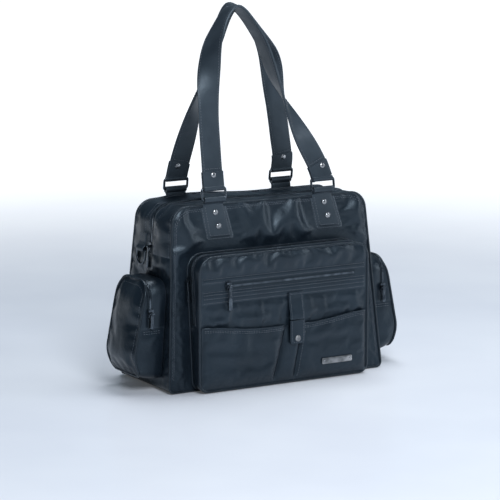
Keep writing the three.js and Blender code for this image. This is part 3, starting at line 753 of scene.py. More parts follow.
FRONT_SURFACE = make_big_panel("front_skin", "front_panel", front_y, -1, front_loose, 5 * MM, 3.1)
BACK_SURFACE = make_big_panel("back_skin", "back_panel", back_y, 1, back_loose, 7 * MM, 8.4)


def body_path(sign, step=4 * MM):
    """From the middle of the top, over one shoulder and down the side to the base, as (x, z)."""
    corners = [(0, HEIGHT, 0), (sign * TOP_HALF, HEIGHT, TOP_ROUND),
               (sign * BASE_HALF, 0, BASE_ROUND), (sign * BASE_SPLIT, 0, 0)]
    return rounded(corners, step)


def outward(line, sign):
    """Outward directions of a line that starts at the top and runs down one side."""
    return [Vector((-sign * d.y, 0, sign * d.x)) for d in frames_along(line)]


def gusset_puff(y, z, x):
    """How far the side stands out: two soft lobes beside the zip, and one below it."""
    across = (y - front_y(z)) / (back_y(z) - front_y(z))
    high = smooth(178 * MM, 200 * MM, z) * (1 - smooth(250 * MM, 286 * MM, z))
    front_lobe = math.sin(math.pi * min(across / 0.5, 1))
    back_lobe = 0.35 * math.sin(math.pi * min(max(across - 0.5, 0) / 0.5, 1))
    lip = 0.6 * MM * math.sin(math.pi * across)
    top_sag = 1.6 * MM * smooth(HEIGHT - 12 * MM, HEIGHT, z) * math.sin(math.pi * across) ** 2
    wander = 1 + 0.5 * waver((x, y, z), 30 * MM, 5.5)
    return 6.0 * MM * high * (front_lobe + back_lobe) * wander + lip - top_sag


def make_top_half(side, sign, face):
    """One quarter of the top: from the middle over a shoulder, between a long seam and the zip."""
    line = [p for p in body_path(sign) if p.y >= ZIP_END - 2 * MM]
    out = outward(line, sign)
    both = list(zip(line, out))
    seam_y = front_y if face == "front" else back_y
    edge = -1 if face == "front" else 1
    zip_y = edge * ZIP_EDGE
    columns = 16

    def place(r, c):
        x, z = line[r]
        y = lerp(seam_y(z), zip_y, c / (columns - 1))
        welt = 0.9 * MM * smooth(0.7, 1, c / (columns - 1))
        return Vector((x, y, z)) + out[r] * (gusset_puff(y, z, x) + welt)

    def cross(piece, slot, *nodes):
        start, end = (sign * MOUTH_HALF, 0, HEIGHT), (sign * MOUTH_END, 0, HEIGHT)
        bend(piece, slot, f"mouth_{face}", "bag", start, end, *nodes)

    piece = grid(f"top_{face}_{side}", len(line), columns, place)
    pins = panel_pins(len(line), columns, lambda r, c: 0.9 * smooth(0, 40 * MM, r * 4 * MM))
    settle(piece, pins, "top")
    droop(refine(piece))
    surface = surface_of(piece)
    cross(thicken(piece, PANEL), "leather", *([f"mouth_panel_{face}"] if side == "left" else []))

    seams = [[Vector((p.x, zip_y + edge * inset, p.y)) + n * 3 * MM for p, n in both]
             for inset in (3.2 * MM, 15 * MM)]
    seams.append([Vector((p.x, lerp(seam_y(p.y), 0, 0.08), p.y)) + n * MM for p, n in both])
    cross(Stitching(f"top_stitching_{face}_{side}").sew(surface, *seams).make(), "leather")

    zip_points = [Vector((p.x, 0, p.y)) + n * (ZIP_RISE - 0.4 * MM) for p, n in both]
    across = 1 if (face == "front") == (sign > 0) else -1
    row = droop(zip_row(f"main_zip_{face}_{side}", zip_points, out, across))
    cross(row, "zip", *([f"main_zip_{side}"] if face == "front" else []))


SIGNS = {"left": -1, "right": 1}
for side_name, side_sign in SIGNS.items():
    make_top_half(side_name, side_sign, "front")
    make_top_half(side_name, side_sign, "back")


def side_pocket_hides(y, z):
    """1 where a side pocket covers the gusset, so that the leather stays flat behind it."""
    inside_y = min(y - (SIDE_LOW.y - 4 * MM), (SIDE_HIGH.y + 4 * MM) - y)
    return smooth(-6 * MM, 2 * MM, min(inside_y, SIDE_HIGH.z + 2 * MM - z))


def make_side(side, sign):
    """The side gusset below the zip, down to the base."""
    line = [p for p in body_path(sign) if p.y <= ZIP_END + 2 * MM]
    out = outward(line, sign)
    columns = 40

    def across_at(r, c):
        z = line[r].y
        return lerp(front_y(z), back_y(z), c / (columns - 1))

    def place(r, c):
        x, z = line[r]
        y = across_at(r, c)
        belly = 3.5 * MM * math.sin(math.pi * c / (columns - 1)) * smooth(0, 30 * MM, z)
        puff = max(gusset_puff(y, z, x), belly) * (1 - side_pocket_hides(y, z))
        return Vector((x, y, z)) + out[r] * puff

    def loose(r, c):
        z = line[r].y
        return 0.95 * (1 - side_pocket_hides(across_at(r, c), z)) * smooth(2 * MM, 16 * MM, z)

    piece = grid(f"side_skin_{side}", len(line), columns, place)
    settle(piece, panel_pins(len(line), columns, loose), "side")
    surface = skin(refine(piece), PANEL, "bag", f"side_gusset_{side}")
    bars = [[Vector((sign * side_x(z), y * MM, z)) for y in (-17, -5, 5, 17)]
            for z in (ZIP_END - 1.5 * MM, ZIP_END - 5 * MM)]
    Stitching(f"zip_stop_stitching_{side}").sew(surface, *bars).fasten("bag")


for side_name, side_sign in SIGNS.items():
    make_side(side_name, side_sign)


def make_base():
    rows, columns = 30, 60

    def place(r, c):
        x = lerp(-BASE_SPLIT, BASE_SPLIT, c / (columns - 1))
        y = lerp(front_y(0), back_y(0), r / (rows - 1))
        rim = min(r, rows - 1 - r, c, columns - 1 - c)
        lift = 0.5 * MM * smooth(0, 4, rim) * (0.5 + 0.5 * waver((x, y, 0), 60 * MM, 2.2))
        return Vector((x, y, lift))

    surface = skin(grid("base_skin", rows, columns, place), 2 * MM, "bag", "base_panel")
    ends = [front_y(0) + 4 * MM, back_y(0) - 4 * MM]
    seams = [[Vector((x, y, 0)) for y in ends] for x in (-BASE_SPLIT + 4 * MM, BASE_SPLIT - 4 * MM)]
    Stitching("base_stitching").sew(surface, *seams).fasten("bag")


make_base()


# ---------------------------------------------------------------- seams of the body

PIPE = 1.9 * MM


def make_body_piping(face, seam_y, surface):
    line = loop_round((BASE_HALF, TOP_HALF), (0, HEIGHT), (BASE_ROUND, TOP_ROUND), 5 * MM)
    points = [Vector((p.x * (1 - 0.0015), seam_y(p.y), max(p.y, PIPE))) for p in line]
    normals = [Vector((0, -1 if face == "front" else 1, 0))] * len(points)
    make_pipe(f"piping_{face}", points, normals, PIPE, "bag", droop)
    thread = Stitching(f"{face}_stitching")
    for inset in (6 * MM, 8.5 * MM):
        shrink = 1 - inset / BASE_HALF
        ring = [Vector((p.x * shrink, seam_y(p.y), lerp(HEIGHT / 2, p.y, 1 - 2 * inset / HEIGHT)))
                for p in line]
        upper = [p for p in ring if p.z > 20 * MM]
        start = next(i for i, p in enumerate(upper) if p.x < 0)
        thread.sew(surface, upper[start:] + upper[:start])
    thread.fasten("bag")


make_body_piping("front", front_y, FRONT_SURFACE)
make_body_piping("back", back_y, BACK_SURFACE)


# ---------------------------------------------------------------- lining and board

def make_lining():
    """An open-topped cloth tub that hangs inside the walls."""
    low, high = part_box("lining")
    inset = 6.5 * MM
    rows, floor_rows, half_round = 34, 8, 22 * MM
    heights = [lerp(high.z, low.z + 2 * MM, r / (rows - 1)) for r in range(rows)]
    halves = np.interp(heights, [z for _, z in BODY_EDGE], [half for half, _ in BODY_EDGE])
    count = 180

    def ring(r):
        z, half = heights[r], float(halves[r]) - inset
        y0, y1 = front_y(z) + inset, back_y(z) - inset
        corners = [(-half, y0, half_round), (half, y0, half_round),
                   (half, y1, half_round), (-half, y1, half_round)]
        line = rounded(corners, 2 * MM, closed=True)
        picked = [line[int(k * len(line) / count)] for k in range(count)]
        middle = Vector((0, (y0 + y1) / 2))
        folds = [0.008 * (1 + waver((p.x, p.y, z), 35 * MM, 1.3)) for p in picked]
        return [middle.lerp(p, 1 - fold) for p, fold in zip(picked, folds)]

    rings = [ring(r) for r in range(rows)]

    def wall(r, c):
        if r < rows:
            return Vector((rings[r][c].x, rings[r][c].y, heights[r]))
        share = 1 - (r - rows + 1) / floor_rows
        edge = rings[-1][c]
        z = low.z + 1.5 * MM + 0.4 * MM * waver(edge.to_3d(), 0.03)
        return Vector((edge.x * share, edge.y * share, z))

    tub = grid("lining_tub", rows + floor_rows, count, wall, LINING, BAG_MIDDLE, around=True)
    tub.data.flip_normals()
    thicken(tub, 0.8 * MM)
    belong(tub, "lining", "bag", "lining")


make_lining()
frame["nodes"]["base_board"].data.materials.clear()
frame["nodes"]["base_board"].data.materials.append(BOARD)


# ---------------------------------------------------------------- front pocket

POCKET_EDGE = edge_line(POCKET_HALF, POCKET_HALF, POCKET_LOW.z, POCKET_HIGH.z,
                        POCKET_ROUND["base"], POCKET_ROUND["top"])
FACE_Y = POCKET_LOW.y
SLIP_LOW, SLIP_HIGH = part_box("slip_pocket_left")
HEM = SLIP_HIGH.z
BAND = {"top": 184 * MM, "bottom": 141 * MM}


def make_pocket_gussets():
    line = loop_round((POCKET_HALF, POCKET_HALF), (POCKET_LOW.z, POCKET_HIGH.z),
                      (POCKET_ROUND["base"], POCKET_ROUND["top"]))
    out = [Vector((-d.y, 0, d.x)) for d in frames_along(line, True)]
    both, upper, lower = split_loop(line, out, POCKET_ZIP_END)
    middle = Vector((0, -0.085, 0.11))

    def strip(name, part, near, far, columns, puff):
        def place(r, c):
            p, n = part[r]
            t = c / (columns - 1)
            y = lerp(near(p.y), far(p.y), t)
            swell = puff * math.sin(math.pi * t) * (1 + 0.7 * waver((p.x, y, p.y), 26 * MM, 4.4))
            return Vector((p.x, y, p.y)) + n * swell
        return refine(grid(name, len(part), columns, place, inside=middle))

    def behind(offset):
        return lambda z: front_y(z) - offset

    def face(z):
        return FACE_Y + MM

    def at_depth(part, depth, lift):
        return [Vector((p.x, front_y(p.y) - depth, p.y)) + n * lift for p, n in part]

    rear = strip("pocket_welt_rear", upper, behind(GAP), behind(POCKET_SPLIT), 6, 0.7 * MM)
    belong(thicken(rear, THIN_LEATHER), "leather", "bag", "pocket_gusset_rear")
    front = strip("pocket_gusset_upper", upper, behind(POCKET_SPLIT + 9.5 * MM), face, 10, 2.2 * MM)
    surface = skin(front, POCKET_LEATHER, "front_pocket", "pocket_gusset_front")

    foot = strip("pocket_gusset_lower", lower, behind(GAP), face, 12, 1.8 * MM)
    foot_surface = surface_of(foot)
    away = Vector((0, -1, (FRONT_HIGH.y - SKIN - FRONT_LOW.y) / HEIGHT)).normalized()
    start = Vector((0, front_y(0) - MM, 0))
    end = start + away * 17 * MM
    bend(thicken(foot, POCKET_LEATHER), "leather", "bag", "front_pocket", start, end)

    points = at_depth(upper, POCKET_SPLIT + 4.7 * MM, 0.2 * MM)
    normals = [n for _, n in upper]
    zip_pair(("pocket_zip_rear", "pocket_zip_front"), points, normals, "front_pocket", "pocket_zip")
    seams = [at_depth(upper, inset, 2 * MM) for inset in (13 * MM, 22 * MM)]
    Stitching("pocket_gusset_stitching").sew(surface, *seams).fasten("front_pocket")

    ring = [Vector((p.x, FACE_Y + 0.4 * MM, p.y)) + n * 0.6 * MM for p, n in both]
    make_pipe("pocket_piping", ring, out, 2.1 * MM, "front_pocket")
    make_pipe("pocket_rear_piping", at_depth(both, 0.8 * MM, 0.8 * MM), out, 1.7 * MM, "bag")

    x, z = POCKET_HALF + 0.4 * MM, POCKET_ZIP_END - 1.5 * MM
    bars = [[Vector((sign * x, y * MM, z - drop)) for y in (-77, -84, -90)]
            for drop in (0, 3 * MM) for sign in (-1, 1)]
    stop = Stitching("pocket_zip_stop_stitching").sew(foot_surface, *bars)
    bend(stop.make(), "leather", "bag", "front_pocket", start, end)


make_pocket_gussets()


def face_puff(x, z):
    """The pocket face swells above its zip band and a little below it."""
    rim = min(POCKET_HALF - abs(x), POCKET_HIGH.z - z)
    side = smooth(0, 26 * MM, rim)
    above = math.sin(math.pi * min(max((z - BAND["top"]) / (POCKET_HIGH.z - BAND["top"]), 0), 1))
    between = smooth(HEM, HEM + 20 * MM, z) * (1 - smooth(BAND["bottom"] - 8 * MM, BAND["bottom"], z))
    return 3.6 * MM * above * smooth(0, 12 * MM, POCKET_HALF - abs(x)) + 1.6 * MM * between * side


def face_loose(x, z):
    above = smooth(BAND["top"], BAND["top"] + 8 * MM, z)
    below_band = 1 - smooth(BAND["bottom"] - 10 * MM, BAND["bottom"], z)
    between = 0.6 * smooth(HEM - 4 * MM, HEM + 8 * MM, z) * below_band
    strap_low, strap_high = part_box("centre_strap")
    beside = smooth(0, 12 * MM, max(strap_low.x - x, x - strap_high.x))
    return max(above, between * beside)


def make_pocket_face():
    rows, columns = len(POCKET_EDGE), 80

    def spot(r, c):
        half, z = POCKET_EDGE[r]
        return half * spread(c, columns), z

    def place(r, c):
        x, z = spot(r, c)
        ripple = 0.8 * MM * waver((x, z, 0), 30 * MM, 6.6) * face_loose(x, z)
        return Vector((x, FACE_Y - max(face_puff(x, z) + ripple, 0), z))

    piece = grid("pocket_face_skin", rows, columns, place)
    settle(piece, panel_pins(rows, columns, lambda r, c: face_loose(*spot(r, c))), "pocket_face")
    return skin(refine(piece), POCKET_LEATHER, "front_pocket", "pocket_face")


FACE_SURFACE = make_pocket_face()


def on_surface(surface, x, z, lift=0.0):
    """The point of a front-facing surface at x and z, moved out by lift."""
    hit = surface.ray_cast(Vector((x, -0.3, z)), Y)[0]
    return (hit if hit is not None else Vector((x, FACE_Y, z))) - Y * lift


def overlay(name, surface, half, low, high, lift, step=3.5 * MM):
    """A strip of leather on the face, with rolled edges."""
    rows = max(int((high - low) / step), 4)
    columns = max(int(2 * half / step), 4)

    def place(r, c):
        z = lerp(low, high, r / (rows - 1))
        x = lerp(-half, half, c / (columns - 1))
        rim = min(x + half, half - x, z - low, high - z)
        return on_surface(surface, x, z, lift * smooth(-0.5 * MM, 2 * MM, rim))

    return grid(name, rows, columns, place)


def make_zip_band():
    """The wide stitched band across the face, with its zip in a slot."""
    zip_low, zip_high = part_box("face_zip")
    middle = (zip_low.z + zip_high.z) / 2
    edge = POCKET_HALF - 4 * MM
    thread = Stitching("face_stitching")
    for name, low, high in (("face_band_upper", middle + ZIP_EDGE, BAND["top"]),
                            ("face_band_lower", BAND["bottom"], middle - ZIP_EDGE)):
        piece = refine(overlay(name, FACE_SURFACE, edge, low, high, 1.3 * MM))
        rows = [low + 2.2 * MM, high - 2.2 * MM]
        if high - low > 14 * MM:
            rows += [lerp(low, high, 0.42), lerp(low, high, 0.7)]
        across = np.linspace(-edge + 2 * MM, edge - 2 * MM, 90)
        seams = [[Vector((x, FACE_Y - 1.5 * MM, z)) for x in across] for z in rows]
        pinch(piece, seams, 0.7 * MM, 1.6 * MM)
        thread.sew(skin(piece, MM, "front_pocket"), *seams)
    thread.fasten("front_pocket")
    points = [Vector((x, FACE_Y - 0.9 * MM, middle)) for x in np.linspace(zip_low.x, zip_high.x, 60)]
    normals = [-Y] * len(points)
    zip_pair(("face_zip_upper", "face_zip_lower"), points, normals, "front_pocket", "face_zip")


make_zip_band()

SLIP_OUTER = -SLIP_LOW.x
SLIP_DEPTH = FACE_Y - SLIP_LOW.y
SLANT = {"left": (-22 * MM, 1 * MM), "right": (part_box("slip_pocket_right")[0].x, 33 * MM)}


def hem_height(x):
    """The hems droop in the middle and rise to the pocket's outer corners."""
    outer = smooth(25 * MM, SLIP_OUTER, abs(x))
    return HEM - 1.5 * MM + 10 * MM * outer ** 1.4


def make_slip_pocket(side):
    foot, top = SLANT[side]
    rows, columns = 30, 42
    outer = SLIP_OUTER + 2 * MM

    def in_order(left_edge, right_edge):
        """From the outer edge to the inner one on the left, and the other way on the right."""
        return (-left_edge, right_edge) if side == "left" else (right_edge, left_edge)

    def spot(r, c):
        share = r / (rows - 1)
        x = lerp(*in_order(outer, lerp(foot, top, share)), c / (columns - 1))
        return x, lerp(SLIP_LOW.z, hem_height(x), share), share

    def place(r, c):
        x, z, share = spot(r, c)
        full = (1 - abs(spread(c, columns)) ** 12) * (1 - (1 - share) ** 12)
        hem_gap = lerp(1, 0.86, smooth(0.75, 1, share))
        return Vector((x, FACE_Y - 0.6 * MM - (SLIP_DEPTH - 1.2 * MM) * full * hem_gap, z))

    badge_low, badge_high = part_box("badge")

    def loose(r, c):
        x, z, share = spot(r, c)
        off_badge = max(badge_low.x - x, x - badge_high.x, badge_low.z - z, z - badge_high.z)
        return 0.8 * smooth(2 * MM, 18 * MM, off_badge) * smooth(0, 0.12, share)

    def hem_line(reach, drop):
        xs = np.linspace(*in_order(reach, top), 60)
        return [Vector((x, SLIP_LOW.y, hem_height(x) - drop)) for x in xs]

    piece = grid(f"slip_pocket_skin_{side}", rows, columns, place)
    settle(piece, panel_pins(rows, columns, loose), "slip")
    refine(piece)
    seams = [hem_line(outer - 2 * MM, inset) for inset in (3.5 * MM, 6 * MM)]
    pinch(piece, seams[:1], 0.5 * MM, 1.8 * MM)
    surface = surface_of(piece)
    inset = -3 * MM if side == "left" else 3 * MM
    inner = [Vector((lerp(foot, top, t) + inset, SLIP_LOW.y, lerp(SLIP_LOW.z, HEM - 4 * MM, t)))
             for t in np.linspace(0.03, 0.9, 20)]
    Stitching(f"slip_stitching_{side}").sew(surface, *seams, inner).fasten("front_pocket")
    edge = [surface.find_nearest(p)[0] for p in hem_line(outer, 0)]
    hem = sweep(f"slip_hem_{side}", edge, [-Y] * len(edge), circle(1.3 * MM), LEATHER)
    belong(hem, "leather", "front_pocket")
    belong(thicken(piece, THIN_LEATHER), "leather", "front_pocket", f"slip_pocket_{side}")


def make_slip_divider():
    """The strip of face between the two slip pockets, filled out level with them."""
    rows, columns = 30, 12
    left_foot, left_top = SLANT["left"]
    right_foot, right_top = SLANT["right"]

    def place(r, c):
        share = r / (rows - 1)
        u = spread(c, columns)
        left = lerp(left_foot, left_top, share) + 0.6 * MM
        right = lerp(right_foot, right_top, share) - 0.6 * MM
        swell = (1 - u ** 6) * (1 - (1 - share) ** 14) * (1 - share ** 5)
        y = FACE_Y - 0.4 * MM - (SLIP_DEPTH - 2.4 * MM) * swell
        return Vector((lerp(left, right, (u + 1) / 2), y, lerp(SLIP_LOW.z, HEM - 3 * MM, share)))

    strip = refine(grid("slip_divider", rows, columns, place))
    belong(thicken(strip, THIN_LEATHER), "leather", "front_pocket")


make_slip_pocket("left")
make_slip_pocket("right")
make_slip_divider()


def make_straps_on_face():
    """The sewn centre strap, and the snap strap that hangs from it."""
    low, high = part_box("centre_strap")
    tab_low, tab_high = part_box("snap_strap")
    width = high.x - low.x
    middle = (low.x + high.x) / 2
    thickness = tab_high.y - tab_low.y
    lie = FACE_Y - 1.6 * MM - thickness / 2
    hang = (tab_low.y + tab_high.y) / 2
    heights = np.linspace(high.z, low.z, 24)
    rest = [lerp(hang, lie, smooth(low.z + 2 * MM, high.z - 8 * MM, z)) for z in heights]
    points = [Vector((middle, y, z)) for y, z in zip(rest, heights)]
    count = len(points)
    profile = strap_section(width, thickness, 0.3 * MM)
    sewn = sweep("centre_strap_skin", points, [-Y] * count, profile, LEATHER)
    belong(sewn, "leather", "front_pocket", "centre_strap")
    thread = Stitching("centre_strap_stitching")
    for edge in (-1, 1):
        line = [p + X * edge * (width / 2 - 3 * MM) for p in points]
        thread.lay(resample(line, STITCH["pitch"]), [-Y] * count, thickness / 2 + 0.2 * MM)
    cross = [Vector((middle + x * MM, lie, high.z - 3 * MM)) for x in (-10, -6, -2, 2, 6, 10)]
    thread.lay(cross, [-Y] * len(cross), thickness / 2 + 0.2 * MM)
    thread.fasten("front_pocket")

    hang_points = [Vector((middle, hang, z)) for z in np.linspace(tab_high.z, tab_low.z + 0.5 * MM, 22)]

    def tab_profile(i):
        rest = hang_points[i].z - tab_low.z
        narrow = min(1, 0.82 + 0.18 * smooth(0, 4 * MM, rest))
        return strap_section(width * narrow, thickness, 0.3 * MM)

    tab = sweep("snap_strap_skin", hang_points, [-Y] * len(hang_points), tab_profile, LEATHER)
    belong(tab, "leather", "snap_strap", "snap_strap")
    tab_thread = Stitching("snap_strap_stitching")
    inset = width / 2 - 3 * MM
    corners = [(middle - inset, tab_high.z - MM, 0), (middle - inset, tab_low.z + 3 * MM, 3 * MM),
               (middle + inset, tab_low.z + 3 * MM, 3 * MM), (middle + inset, tab_high.z - MM, 0)]
    ring = [Vector((p.x, hang, p.y)) for p in rounded(corners, STITCH["pitch"])]
    tab_thread.lay(ring, [-Y] * len(ring), thickness / 2 + 0.25 * MM)
    tab_thread.fasten("snap_strap")


make_straps_on_face()


def dome(name, centre, out, radius, rise, material=NICKEL):
    """A domed rivet or snap head, with a rolled rim, standing on a surface at centre."""
    rest = out.to_track_quat("Z", "Y").to_matrix().to_4x4()
    profile = [(radius, -0.3 * MM), (radius, 0.25 * rise), (radius * 0.93, 0.45 * rise),
               (radius * 0.86, 0.42 * rise), (radius * 0.72, 0.72 * rise), (radius * 0.5, 0.9 * rise),
               (radius * 0.25, 0.98 * rise), (0, rise)]
    return lathe(name, Matrix.Translation(centre) @ rest, profile, material)


cap_low, cap_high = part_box("snap_cap")
cap_centre = (cap_low + cap_high) / 2
cap = dome("snap_cap_dome", Vector((cap_centre.x, cap_high.y, cap_centre.z)), -Y,
           (cap_high.x - cap_low.x) / 2 - 0.9 * MM, cap_high.y - cap_low.y, BADGE_METAL)
belong(cap, "nickel", "snap_strap", "snap_cap")


def make_badge():
    """A plain polished plate on two pins."""
    low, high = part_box("badge")
    place = Matrix.Translation(Vector(((low.x + high.x) / 2, 0, (low.z + high.z) / 2)))
    half_x, half_z, radius = (high.x - low.x) / 2, (high.z - low.z) / 2, 2 * MM
    rim = plate("badge_plate", place, rectangle(half_x, -half_z, half_z, radius), high.y, low.y, BADGE_METAL)
    pins = [dome("pin", Vector((place.translation.x + s * (half_x - 4 * MM), low.y, place.translation.z)),
                 -Y, 1.5 * MM, 0.7 * MM) for s in (-1, 1)]
    belong(join("badge_plate", [rim, *pins]), "nickel", "front_pocket", "badge")


make_badge()


# ---------------------------------------------------------------- side pockets

# A side pocket's outer edge, as heights and distances from the middle.
SIDE_OUTER = [(15 * MM, 229 * MM), (28 * MM, 238 * MM), (56 * MM, 244.5 * MM), (150 * MM, 226 * MM),
              (176 * MM, 216 * MM)]
SIDE_SLOPE = 0.17                       # its underside rises by this much for each mm outward
SIDE_MIDDLE_Y = (SIDE_LOW.y + SIDE_HIGH.y) / 2
SIDE_HALF_Y = (SIDE_HIGH.y - SIDE_LOW.y) / 2
SIDE_EDGE = edge_line(SIDE_HALF_Y, SIDE_HALF_Y, SIDE_LOW.z, SIDE_HIGH.z,
                      SIDE_ROUND["base"], SIDE_ROUND["top"])


def outer_x(z):
    """Distance of a side pocket's outer edge from the middle, along a smooth curve."""
    heights = [h for h, _ in SIDE_OUTER]
    reach = [x for _, x in SIDE_OUTER]
    return float(np.mean([np.interp(z + d * MM, heights, reach) for d in range(-12, 13, 4)]))


def raised(x, z):
    """A height on a side pocket, lifted near its base by the slope of its underside."""
    slope = max(abs(x) - BASE_HALF, 0) * SIDE_SLOPE
    return z + slope * (1 - smooth(SIDE_LOW.z, SIDE_LOW.z + 60 * MM, z))


def make_side_pocket(side, sign):
    body = f"side_pocket_{side}"
    line = loop_round((SIDE_HALF_Y, SIDE_HALF_Y), (SIDE_LOW.z, SIDE_HIGH.z),
                      (SIDE_ROUND["base"], SIDE_ROUND["top"]), middle=SIDE_MIDDLE_Y)
    out = [Vector((0, -d.y, d.x)) for d in frames_along(line, True)]
    both, upper, lower = split_loop(line, out, SIDE_ZIP_END)
    middle = Vector((sign * 0.21, SIDE_MIDDLE_Y, 0.095))

    def strip(name, part, near, far, columns, puff):
        def place(r, c):
            p, n = part[r]
            t = c / (columns - 1)
            x = sign * lerp(near(p.y), far(p.y), t)
            wander = 1 + 0.8 * waver((x, p.x, p.y), 24 * MM, 7.0 + sign)
            return Vector((x, p.x, raised(x, p.y))) + n * (puff(p.y) * math.sin(math.pi * t) * wander)
        return refine(grid(f"side_pocket_{name}_{side}", len(part), columns, place, inside=middle))

    def even(swell):
        return lambda z: swell

    def below_zip(z):
        """The foot swells only below the zip's end, which leaves the slider room to come down."""
        return 2.4 * MM * smooth(0, 20 * MM, SIDE_ZIP_END + 4 * MM - z)

    def wall(z):
        return side_x(z) + GAP

    def at_edge(p, offset):
        return Vector((sign * (outer_x(p.y) + offset), p.x, raised(outer_x(p.y), p.y)))

    rear = strip("rear", upper, wall, even(SIDE_SPLIT), 9, even(1.4 * MM))
    belong(thicken(rear, THIN_LEATHER), "leather", "bag", f"side_pocket_gusset_{side}")
    front = strip("edge", upper, even(SIDE_SPLIT + 8 * MM), outer_x, 6, even(0.8 * MM))
    belong(thicken(front, THIN_LEATHER), "leather", body)
    foot = strip("foot", lower, wall, outer_x, 16, below_zip)
    foot_surface = surface_of(foot)
    start, end = Vector((sign * 196 * MM, 0, 0)), Vector((sign * 222 * MM, 0, 0))
    bend(thicken(foot, THIN_LEATHER), "leather", "bag", body, start, end)
    bars = [[Vector((sign * x * MM, SIDE_LOW.y - MM, SIDE_ZIP_END - drop)) for x in (198, 208, 218, 228)]
            for drop in (3 * MM, 6.5 * MM)]
    stop = Stitching(f"side_zip_stop_stitching_{side}").sew(foot_surface, *bars)
    bend(stop.make(), "leather", "bag", body, start, end)

    rows, columns = len(SIDE_EDGE), 28

    def place(r, c):
        half, z = SIDE_EDGE[r]
        u = spread(c, columns)
        rim = min(half * (1 - abs(u)), z - SIDE_LOW.z, SIDE_HIGH.z - z)
        crown = 5.5 * MM * smooth(-2 * MM, 30 * MM, rim) + 0.8 * MM * waver((u * half, z, sign), 26 * MM, 9.0)
        x = outer_x(z)
        return Vector((sign * (x + crown * smooth(0, 4 * MM, rim)), SIDE_MIDDLE_Y + u * half, raised(x, z)))

    face = grid(f"side_pocket_skin_{side}", rows, columns, place, inside=middle)
    settle(face, panel_pins(rows, columns, lambda r, c: 0.9), "side_pocket")
    surface = skin(refine(face), POCKET_LEATHER, body, f"side_pocket_face_{side}")
    edge_points = [at_edge(p, -0.3 * MM) + n * 0.4 * MM for p, n in both]
    make_pipe(f"side_pocket_piping_{side}", edge_points, out, PIPE, body)
    centre = Vector((SIDE_MIDDLE_Y, (SIDE_LOW.z + SIDE_HIGH.z) / 2))
    ring = [at_edge(centre.lerp(p, 0.9), 3 * MM) for p in line]
    Stitching(f"side_pocket_stitching_{side}").sew(surface, ring).fasten(body)

    zip_x = sign * (SIDE_SPLIT + 4 * MM)
    points = [Vector((zip_x, p.x, p.y)) + n * 0.3 * MM for p, n in upper]
    normals = [n for _, n in upper]
    zip_pair((f"side_zip_inner_{side}", f"side_zip_outer_{side}"), points, normals, body,
             f"side_pocket_zip_{side}", 3.6 * MM)


for side_name, side_sign in SIGNS.items():
    make_side_pocket(side_name, side_sign)


# ---------------------------------------------------------------- anchor tabs, rings and rivets

def surface_frame(origin, across, out):
    """Local X runs across a surface, local -Y points out of it, and local Z is up it."""
    inward = -out.normalized()
    up = across.cross(inward).normalized()
    rest = Matrix((across.normalized(), inward, up)).transposed().to_4x4()
    return Matrix.Translation(origin) @ rest


def anchor_frame(spot):
    seam_y = back_y if spot["back"] else front_y
    rise = (seam_y(HEIGHT) - seam_y(0)) / HEIGHT
    across = -X if spot["back"] else X
    out = Vector((0, 1, -rise)) if spot["back"] else Vector((0, -1, rise))
    return surface_frame(Vector((spot["x"], seam_y(HEIGHT), HEIGHT)), across, out)


TAB_THICK = 3 * MM
TAB_RIVETS = (-12 * MM, -34 * MM)
WIRE = 1.9 * MM
RIVET = 4.6 * MM


def joint_place(name):
    return Vector(next(j["pos_m"] for j in frame["joints"] if j["name"] == name))


